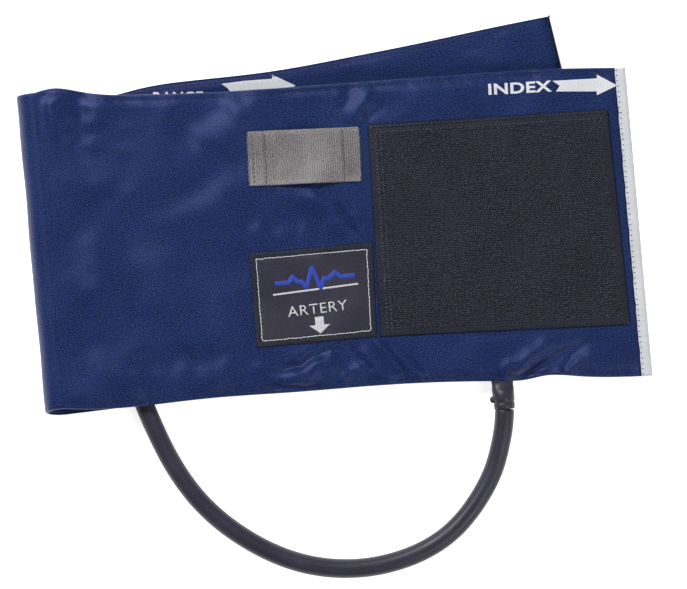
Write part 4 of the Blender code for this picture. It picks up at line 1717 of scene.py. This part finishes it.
def word(text: str, spot: Spot, thickness: float, weight: float = 0.0) -> Lump:
    """A word of block letters that fills the spot.

    Args:
        text: The word, in capitals.
        spot: Where it stands.
        thickness: How far it stands up.
        weight: How much wider its strokes are than usual, as a share of its height.

    Returns:
        The word as a closed solid.
    """
    curve = bpy.data.curves.new("letters", "FONT")
    curve.body = text
    curve.extrude = 0.05
    curve.resolution_u = 4
    curve.space_character = 1.06
    curve.offset = weight
    obj = put("letters", curve)
    shown = obj.evaluated_get(bpy.context.evaluated_depsgraph_get())
    mesh = bmesh.new()
    mesh.from_mesh(shown.to_mesh())
    shown.to_mesh_clear()
    bpy.data.objects.remove(obj)
    points = np.array([vert.co for vert in mesh.verts], float)
    low, high = points.min(axis=0), points.max(axis=0)
    unit = (points - (low + high) / 2) / (high - low)
    flat = spot.carry(unit)
    for vert, (x, y), z in zip(mesh.verts, flat, unit[:, 2] + 0.5):
        vert.co = (x, y, z * thickness)
    bmesh.ops.remove_doubles(mesh, verts=mesh.verts, dist=1e-7)
    return lump_of(mesh)


def plate(outline: Sequence[Plan], thickness: float) -> Lump:
    """A flat plate with this outline, given in millimetres."""
    flat = [(x * MM, y * MM) for x, y in outline]
    mesh = bmesh.new()
    low = [mesh.verts.new((x, y, 0)) for x, y in flat]
    high = [mesh.verts.new((x, y, thickness)) for x, y in flat]
    count = len(flat)
    mesh.faces.new(high)
    mesh.faces.new(low[::-1])
    for i in range(count):
        j = (i + 1) % count
        mesh.faces.new((low[i], low[j], high[j], high[i]))
    bmesh.ops.recalc_face_normals(mesh, faces=mesh.faces)
    bmesh.ops.triangulate(mesh, faces=mesh.faces)
    return lump_of(mesh)


def satin_line(weaver: Weaver, points: Array, width: float, height: float) -> None:
    """Adds a raised line of satin stitch along plan points."""
    line = along_polyline(points, 0.00035)
    tangent = np.gradient(line, axis=0)
    tangent /= np.linalg.norm(tangent, axis=1)[:, None]
    side = np.stack([-tangent[:, 1], tangent[:, 0]], 1)
    rows = np.linspace(-1, 1, 7)
    jitter = 1 + 0.10 * np.random.default_rng(71).uniform(-1, 1, len(line))
    plan = line[:, None] + side[:, None] * (rows[None, :, None] * width / 2 * jitter[:, None, None])
    ribs = 0.88 + 0.12 * np.cos(np.arange(len(line)) * math.pi)
    z = height * np.sqrt(np.clip(1 - rows**2, 0, 1))[None] * ribs[:, None]
    top = np.dstack([plan, z + 0.00002])
    under = np.dstack([plan, np.full(z.shape, -0.0001)])
    weaver.grid(np.concatenate([under[:1], top, under[-1:]]))
    weaver.grid(under, flip=True)


# ---- The label ----


@dataclass
class SewnLabel:
    """The dark satin label: stitched border, pulse line, underline, word and arrow."""

    cloth: LeafCloth
    thickness: float = 0.0004
    border_inset: float = 0.0029
    top: float = 0.00042

    def corners(self) -> Array:
        """The label's plan corners."""
        return LEAF.corners("label_patch")

    def patch(self) -> Piece:
        """The satin itself, with its turned edge and a soft dip where it is sewn."""
        corners = self.corners()
        plan, edge = patch_grid(corners, 120, 90)
        ragged = 0.00018 * ripple(plan[..., 0] + plan[..., 1] * 1.3, 0.0031, 61)
        middle = corners.mean(axis=0)
        away = (plan - middle) / np.linalg.norm(plan - middle, axis=-1, keepdims=True)
        plan = plan + away * (ragged * (1 - smooth(edge / 0.001)))[..., None]
        z = self.top - 0.00018 * np.exp(-(((edge - self.border_inset) / 0.0007) ** 2))
        z = z - 0.0002 * (1 - smooth(edge / 0.0006))
        waves = ripple(plan[..., 0], 0.013, 62) * ripple(plan[..., 1], 0.011, 63)
        z = z + 0.00010 * waves * smooth(edge / 0.004)
        weaver = Weaver()
        weaver.grid(np.dstack([plan, z]))
        obj = self.cloth.piece(weaver, "label_satin_patch", SATIN, self.thickness * 0.8)
        obj.data.materials.append(HOOK_TAPE.material())
        margin = (edge[:-1, :-1] < self.border_inset - 0.0004).ravel().astype(np.int32)
        obj.data.polygons.foreach_set("material_index", margin)
        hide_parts("label_patch")
        return obj

    def border(self) -> Piece:
        """The white stitches round it."""
        ring = ring_of(self.corners(), self.border_inset, self.top)
        weaver = Seam(ring, length=0.0021, gap=-0.0003, radius=0.00026, wander=0.00008, seed=64).woven()
        obj = self.cloth.piece(weaver, "label_border_stitches", WHITE_THREAD)
        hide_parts("label_border_thread")
        return obj

    def at(self, *points: Plan) -> Array:
        """Plan points from distances, in millimetres, right of and below the label's first corner."""
        corners = self.corners()
        right = unit(corners[3] - corners[0])
        down = np.array((right[1], -right[0]))
        return np.array([corners[0] + right * x * MM + down * y * MM for x, y in points])

    def raised(self, points: Array) -> Array:
        """Points lifted from the cloth on to the label."""
        return points + np.array((0, 0, self.top))

    def pulse(self) -> Piece:
        """A blue pulse line in satin stitch."""
        weaver = Weaver()
        beat = self.at(
            (10.6, 15.2), (17.0, 15.2), (19.2, 12.6), (21.2, 15.2), (23.4, 15.4), (25.2, 18.2), (28.6, 8.8),
            (31.8, 19.4), (33.6, 14.6), (36.0, 14.8), (39.0, 12.2), (41.6, 14.6), (48.4, 14.4),
        )
        satin_line(weaver, beat, 0.0022, 0.0004)
        weaver.move(self.raised)
        return self.cloth.piece(weaver, "label_pulse_line", BLUE_STITCH)

    def word_and_arrow(self) -> Piece:
        """The white underline, the word and the arrow that marks the artery."""
        weaver = Weaver()
        satin_line(weaver, self.at((9.3, 20.3), (49.4, 18.6)), 0.0009, 0.0003)
        middle = self.at((29.4, 28.4))[0]
        letters = word("ARTERY", Spot((float(middle[0]), float(middle[1])), 0.0282, 0.0048, 2.0), 0.0003)
        weaver.add(letters.points, letters.faces, letters.points[:, :2])
        low, high = LEAF.span("label_arrow", 0)
        tip, tail = LEAF.span("label_arrow", 1)
        x, half, neck = (low + high) / 2 / MM, (high - low) / 2 / MM, blend_of(tip, tail, 0.52) / MM
        arrow = plate(
            [
                (x, tip / MM), (x + half, neck), (x + half * 0.42, neck), (x + half * 0.42, tail / MM),
                (x - half * 0.42, tail / MM), (x - half * 0.42, neck), (x - half, neck),
            ],
            0.00035,
        )
        weaver.add(arrow.points, arrow.faces, arrow.points[:, :2])
        weaver.move(self.raised)
        obj = self.cloth.piece(weaver, "label_word_and_arrow", WHITE_STITCH)
        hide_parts("label_arrow")
        return obj

    def build(self) -> list[Piece]:
        """The label and all that is stitched on it."""
        return [self.patch(), self.border(), self.pulse(), self.word_and_arrow()]


# ---- The index line and the prints ----


def riding(weaver: Weaver, name: str, finish: Finish, node: str, place: Lay = as_given) -> Piece:
    """Makes a piece that rides with the bladder leaf and stands for one node."""
    obj = weaver.make(name, finish.material(), place)
    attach(obj, Body.LEAF.value)
    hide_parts(node)
    return obj


@dataclass
class IndexBinding:
    """White tape bound over the leaf's end, which is the cuff's index line."""

    thickness: float = 0.0004
    stitch_count: int = 58

    def profile(self, low: float, high: float, reach: float) -> Array:
        """The tape's section from the leaf's face round its end to its lining: (out, up) points."""
        middle, half = (low + high) / 2, (high - low) / 2
        turns = np.linspace(math.pi / 2, -math.pi / 2, 13)
        nose = np.stack([reach - half + half * np.cos(turns), middle + half * np.sin(turns)], 1)
        upper = np.stack([np.linspace(-0.0007, reach - half, 9)[:-1], np.full(8, high)], 1)
        upper[0, 1] -= 0.0003
        lower = np.stack([np.linspace(reach - half, -0.0005, 7)[1:], np.full(6, low)], 1)
        return np.concatenate([upper, nose, lower])

    def tape(self) -> Piece:
        """The folded tape."""
        fold_top, fold_bottom, _, end_top = LEAF.corners("index_binding")
        low, high = LEAF.span("index_binding", 2)
        reach = float((end_top - fold_top)[0]) - 0.0001
        section = self.profile(low - 0.0002, high + 0.0005, reach)
        share = np.linspace(0, 1, 260)
        base = blend_of(fold_bottom, fold_top, share[:, None])
        y = base[:, 1]
        wobble = 0.00016 * ripple(y, 0.0113, 81)
        pucker = 0.00012 * ripple(y, 0.0052, 82)
        x = base[:, :1] + section[None, :, 0] + wobble[:, None] * (1 - smooth(section[None, :, 0] / reach))
        z = section[None, :, 1] + pucker[:, None] * np.sign(section[None, :, 1] - (low + high) / 2)
        tuck = smooth(np.minimum(share, 1 - share) / 0.006)[:, None]
        z = (low + high) / 2 + (z - (low + high) / 2) * (0.55 + 0.45 * tuck)
        points = np.dstack([x, np.broadcast_to(y[:, None], x.shape), z])
        weaver = Weaver()
        weaver.grid(points, flip=True)
        obj = riding(weaver, "index_line_tape", WHITE_TAPE, "index_binding", LEAF.to_world)
        return thickened(obj, self.thickness)

    def stitches(self) -> Piece:
        """Navy stitches that cross the tape's inner edge."""
        fold_top, fold_bottom, _, _ = LEAF.corners("index_binding")
        high = LEAF.span("index_binding", 2)[1] + 0.00055
        count = self.stitch_count
        share = (np.arange(count) + 0.5) / count
        rng = np.random.default_rng(83)
        middle = blend_of(fold_bottom, fold_top, share[:, None])
        middle[:, 0] += 0.0001 + rng.normal(0, 0.00010, count)
        weaver = Weaver()
        turns = rng.normal(0.12, 0.12, count)
        places = np.column_stack([middle, np.full(count, high)])
        weaver.scatter(stitch_pattern(0.00017), places, turns, rng.uniform(0.0008, 0.0013, count))
        return riding(weaver, "index_line_stitches", NAVY_THREAD, "binding_seam", LEAF.to_world)

    def build(self) -> list[Piece]:
        """The tape and its stitches."""
        return [self.tape(), self.stitches()]


@dataclass
class Prints:
    """The words and arrows printed on the nylon."""

    cloth: LeafCloth
    seams: LeafSeams
    thickness: float = 0.00007
    lift: float = 0.00003
    weight: float = 0.028

    def gathered(self, text: str, spot: Spot, outline: Sequence[Plan]) -> Weaver:
        """A word and its arrow as one print."""
        weaver = Weaver()
        for lump in (word(text, spot, self.thickness, self.weight), plate(outline, self.thickness)):
            raised = lump.points + np.array((0, 0, self.lift))
            weaver.add(raised, lump.faces, lump.points[:, :2])
        return weaver

    def on_leaf(self) -> Piece:
        """The index word, and the arrow from it to the index line."""
        arrow = (
            (244.7, 59.7), (265.7, 59.1), (265.9, 60.9), (275.0, 54.9), (265.0, 51.2), (265.1, 53.0),
            (245.9, 54.6), (247.9, 57.1),
        )
        weaver = self.gathered("INDEX", Spot((0.2292, 0.0579), 0.0298, 0.0052, -2.0), arrow)
        obj = self.cloth.piece(weaver, "index_print", WHITE_INK)
        obj.data.shade_flat()
        return obj

    def on_tail(self) -> Piece:
        """The range word and its arrow, partly under the leaf's edge."""
        arrow = (
            (89.9, 72.8), (100.8, 73.2), (113.9, 73.0), (114.0, 74.9), (124.6, 68.8), (113.2, 64.2),
            (113.4, 66.4), (95.4, 66.9), (93.8, 68.7), (92.5, 70.5),
        )
        weaver = self.gathered("RANGE", Spot((0.0690, 0.0684), 0.0236, 0.0052, -4.5), arrow)
        obj = weaver.make("range_print", WHITE_INK.material(), self.seams.over_tail)
        obj.data.shade_flat()
        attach(obj, Body.TAIL.value)
        return obj

    def build(self) -> list[Piece]:
        """Both prints."""
        return [self.on_leaf(), self.on_tail()]


# ---- The air tube ----


@dataclass
class AirTube:
    """The rubber tube, the moulded neck that it is pushed on, and the connector at its far end."""

    radius: float = 0.0045
    bore: float = 0.0027
    bore_depth: float = 0.004
    route: tuple[Place, ...] = (
        (0.0790, -0.0909, 0.0067), (0.0786, -0.0980, 0.0064), (0.0772, -0.1070, 0.0056),
        (0.0740, -0.1190, 0.0047), (0.0667, -0.1334, 0.0046), (0.0532, -0.1494, 0.0046),
        (0.0298, -0.1620, 0.0046), (0.0040, -0.1660, 0.0046), (-0.0185, -0.1628, 0.0046),
        (-0.0424, -0.1520, 0.0046), (-0.0640, -0.1345, 0.0046), (-0.0780, -0.1150, 0.0052),
        (-0.0870, -0.0965, 0.0063), (-0.0945, -0.0780, 0.0069), (-0.1008, -0.0600, 0.0069),
        (-0.1062, -0.0400, 0.0069), (-0.1105, -0.0180, 0.0069), (-0.1138, 0.0040, 0.0069),
        (-0.1160, 0.0240, 0.0069),
    )
    path: Array = field(default_factory=lambda: np.zeros((2, 3)))
    neck_drop: float = 0.0014

    def centreline(self) -> Array:
        """The tube's centreline, its points about a millimetre apart."""
        route = np.array(self.route)
        knots = np.concatenate([[0], np.cumsum(np.linalg.norm(np.diff(route, axis=0), axis=1))])
        line = curve_through(knots, route)(np.linspace(0, knots[-1], 1500))
        return along_polyline(line, 0.001)

    def ring(self, middle: Array, along: Array, across: float, up: float, sides: int) -> Array:
        """A ring of points about a place, with its first and last point underneath."""
        side = unit(np.cross(along, (0, 0, 1)))
        rise = np.cross(side, along)
        turns = np.linspace(-math.pi, math.pi, sides + 1)
        return middle + side * (np.sin(turns) * across)[:, None] + rise * (np.cos(turns) * up)[:, None]

    def turned(self, stations: Sequence[Ring], sides: int) -> Array:
        """The rings of a turned shape.

        Args:
            stations: Each ring's middle, direction, half width and half height.
            sides: How many sides each ring has.

        Returns:
            (rings, sides + 1, 3) points.
        """
        return np.stack([self.ring(*station, sides) for station in stations])

    def open_end(self, middle: Array, along: Array, depth: float) -> list[Ring]:
        """The rings of an open end of the tube, from the bottom of its bore out to its rim."""
        inner, wall = middle + along * depth, self.radius - 0.0003
        places = ((inner, 0.00005), (inner, self.bore), (middle, self.bore), (middle, wall))
        return [(place, along, radius, radius) for place, radius in places]

    def make_tube(self) -> Piece:
        """The tube, with its wall and bore at both ends."""
        self.path = self.centreline()
        tangent = np.gradient(self.path, axis=0)
        tangent /= np.linalg.norm(tangent, axis=1)[:, None]
        stations = self.open_end(self.path[0], tangent[0], self.bore_depth)
        stations += [(p, t, self.radius, self.radius) for p, t in zip(self.path[1:-1], tangent[1:-1])]
        stations += self.open_end(self.path[-1], tangent[-1], -self.bore_depth)[::-1]
        weaver = Weaver()
        weaver.grid(self.turned(stations, 28), flip=True)
        return riding(weaver, "air_tube_rubber", RUBBER, "air_tube")

    def make_neck(self) -> Piece:
        """The moulded neck: a flange in the bladder's edge that rises to a round spigot with a rib."""
        end = LEAF.to_local(self.path[:1])[0]
        away = unit(np.array((-0.0012, -1.0, 0.0)))
        lips = (
            (0.0, 0.0094, 0.0005, 0.0), (0.0030, 0.0086, 0.0005, 0.0),
            (0.0056, 0.0068, 0.0005, 0.0), (0.0078, 0.0055, 0.0007, 0.0),
            (0.0096, 0.0051, 0.0011, 0.0003), (0.0112, 0.0050, 0.0020, 0.0008),
            (0.0128, 0.0052, 0.0036, 0.0012), (0.0142, 0.0051, 0.0048, 0.0014),
            (0.0156, 0.0051, 0.0050, 0.0014), (0.0166, 0.0051, 0.0051, 0.0014),
            (0.0176, 0.0051, 0.0051, 0.0014), (0.0186, 0.0050, 0.0050, 0.0014),
            (0.0189, 0.0048, 0.0048, 0.0014), (0.0196, 0.0048, 0.0048, 0.0014),
            (0.0199, 0.0050, 0.0050, 0.0014), (0.0222, 0.0048, 0.0048, 0.0014),
            (0.0224, 0.0045, 0.0045, 0.0014), (0.0224, 0.0001, 0.0001, 0.0014),
        )
        reach = lips[-1][0]
        stations = [(end - away * (reach + 0.0002) + (0, 0, self.neck_drop), away, 0.0001, 0.0001)]
        for along, wide, tall, drop in lips:
            middle = end - away * (reach - along) + np.array((0, 0, self.neck_drop - drop))
            stations.append((middle, away, wide, tall))
        weaver = Weaver()
        weaver.grid(self.turned(stations, 36), flip=True)
        nub = np.array(stations[11][0]) + np.array((-0.0051, 0.0, 0.0004))
        side = unit(np.array((-1.0, -0.15, 0.0)))
        bead = (
            (-0.0012, 0.0017), (0.0004, 0.0016), (0.0011, 0.0012), (0.0014, 0.0005), (0.0015, 0.00005),
        )
        rings = [(nub + side * s, side, r, r * 0.8) for s, r in bead]
        weaver.grid(self.turned(rings, 18), flip=True)
        return riding(weaver, "tube_neck", RUBBER, "port_neck", LEAF.to_world)

    def make_connector(self) -> Piece:
        """The push-in connector at the tube's far end: a grip with ribs and a tapered nose."""
        end = self.path[-1]
        along = unit(self.path[-1] - self.path[-3])
        shape = (
            (-0.0035, 0.0001), (-0.0035, 0.0024), (0.0002, 0.0024), (0.0003, 0.0042), (0.0006, 0.0045),
            (0.0020, 0.0045), (0.0022, 0.0041), (0.0026, 0.0041), (0.0028, 0.0045), (0.0034, 0.0045),
            (0.0036, 0.0041), (0.0040, 0.0041), (0.0042, 0.0045), (0.0048, 0.0045), (0.0050, 0.0049),
            (0.0056, 0.0050), (0.0090, 0.0050), (0.0095, 0.0046), (0.0095, 0.0025), (0.0100, 0.0024),
            (0.0196, 0.0020), (0.0200, 0.0018), (0.0200, 0.0012), (0.0120, 0.0012), (0.0120, 0.0001),
        )
        weaver = Weaver()
        weaver.grid(self.turned([(end + along * s, along, r, r) for s, r in shape], 32), flip=True)
        return riding(weaver, "push_in_connector", PLASTIC, "tube_connector")

    def build(self) -> list[Piece]:
        """The tube with its neck and connector."""
        tube = self.make_tube()
        neck, connector = self.make_neck(), self.make_connector()
        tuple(self.route[0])
        return [tube, neck, connector]


# ---- The studio ----


@dataclass(frozen=True)
class Lamp:
    """A soft box: where it stands, what it looks at, its size and its power."""

    name: str
    place: Place
    target: Place
    size: float
    power: float

    def build(self) -> Piece:
        """Makes the lamp, out of the camera's sight."""
        light = bpy.data.lights.new(self.name, "AREA")
        light.shape = "DISK"
        light.size = self.size
        light.energy = self.power
        obj = put(self.name, light)
        obj.location = self.place
        obj.rotation_euler = (Vector(self.target) - Vector(self.place)).to_track_quat("-Z", "Y").to_euler()
        obj.visible_camera = False
        return obj


@dataclass
class Studio:
    """A white table under soft light, seen from straight above."""

    middle: Plan = (0.0033, -0.0371)
    height: float = 2.0
    lens: float = 222.3
    far: float = 4.0
    table_glow: float = 0.8
    sky: float = 0.16
    lamps: tuple[Lamp, ...] = (
        Lamp("key", (-0.75, 0.9, 1.15), (0.0, -0.02, 0.0), 0.5, 25.0),
        Lamp("fill", (1.0, -0.9, 1.1), (0.0, -0.02, 0.0), 1.0, 11.0),
    )

    def camera(self) -> Piece:
        """The camera, straight above the table."""
        camera = bpy.data.cameras.new("camera")
        camera.lens = self.lens
        camera.sensor_width = 36.0
        camera.sensor_fit = "HORIZONTAL"
        obj = put("camera", camera)
        obj.location = (*self.middle, self.height)
        bpy.context.scene.camera = obj
        return obj

    def table(self) -> Piece:
        """The white table top."""
        mesh = bpy.data.meshes.new("table_top")
        ends = [(x * self.far, y * self.far, 0) for x, y in ((-1, -1), (1, -1), (1, 1), (-1, 1))]
        mesh.from_pydata(ends, [], [(0, 1, 2, 3)])
        made, shader = new_material("table_white")
        set_inputs(shader, Base_Color=(0.93, 0.93, 0.93, 1.0), Roughness=0.9, Specular_IOR_Level=0.1)
        set_inputs(shader, Emission_Color=(1.0, 1.0, 1.0, 1.0), Emission_Strength=self.table_glow)
        mesh.materials.append(made)
        obj = put("table_top", mesh)
        return obj

    def build(self) -> None:
        """Camera, table, lamps, surroundings and view."""
        self.camera()
        self.table()
        for lamp in self.lamps:
            lamp.build()
        scene = bpy.context.scene
        scene.view_settings.view_transform = "Standard"
        world = bpy.data.worlds.new("surroundings")
        world.use_nodes = True
        sky = world.node_tree.nodes["Background"]
        set_inputs(sky, Color=(1.0, 1.0, 1.0, 1.0), Strength=self.sky)
        scene.world = world
        log.info("studio: camera %.2f m up, %d lamps", self.height, len(self.lamps))


# ---- The whole cuff ----


def sewn_ends() -> list[Array]:
    """The two ends of the gauge strap that are sewn down, as plan corners."""
    top_left, bottom_left, bottom_right, top_right = LEAF.corners("gauge_strap")
    share = STRAP_SEWN / float(np.linalg.norm(top_right - top_left))
    inner = [blend_of(a, b, s) for a, b, s in (
        (top_left, top_right, share), (bottom_left, bottom_right, share),
        (bottom_left, bottom_right, 1 - share), (top_left, top_right, 1 - share),
    )]
    return [
        np.array((top_left, bottom_left, inner[1], inner[0])),
        np.array((inner[3], inner[2], bottom_right, top_right)),
    ]


@dataclass
class Cuff:
    """The whole cuff."""

    cloth: LeafCloth
    pieces: list[Piece] = field(default_factory=list)

    def take(self, what: str, made: Sequence[Piece]) -> None:
        """Keeps finished pieces and logs them."""
        for obj in made:
            log.info("%s: %s, %d faces", what, obj.name, len(obj.data.polygons))
        self.pieces.extend(made)

    def build(self) -> None:
        """Sews the cuff together."""
        panels = Panels(self.cloth)
        seams = LeafSeams(self.cloth, panels)
        self.take("panel", panels.build())
        self.take("seam", seams.build())
        self.take("tape", Tapes(self.cloth, seams).build())
        self.take("strap", GaugeStrap(self.cloth).build())
        self.take("label", SewnLabel(self.cloth).build())
        self.take("index", IndexBinding().build())
        self.take("print", Prints(self.cloth, seams).build())


def main() -> None:
    """Builds the studio, the tube and the cuff."""
    logging.basicConfig(level=logging.INFO, format="%(name)s: %(message)s")
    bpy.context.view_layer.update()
    Studio().build()
    cloth = LeafCloth((LEAF.corners("hook_patch"), LEAF.corners("label_patch"), *sewn_ends()))
    cuff = Cuff(cloth)
    cuff.take("tube", AirTube().build())
    cloth.settle()
    cuff.build()


if __name__ == "__main__":
    main()
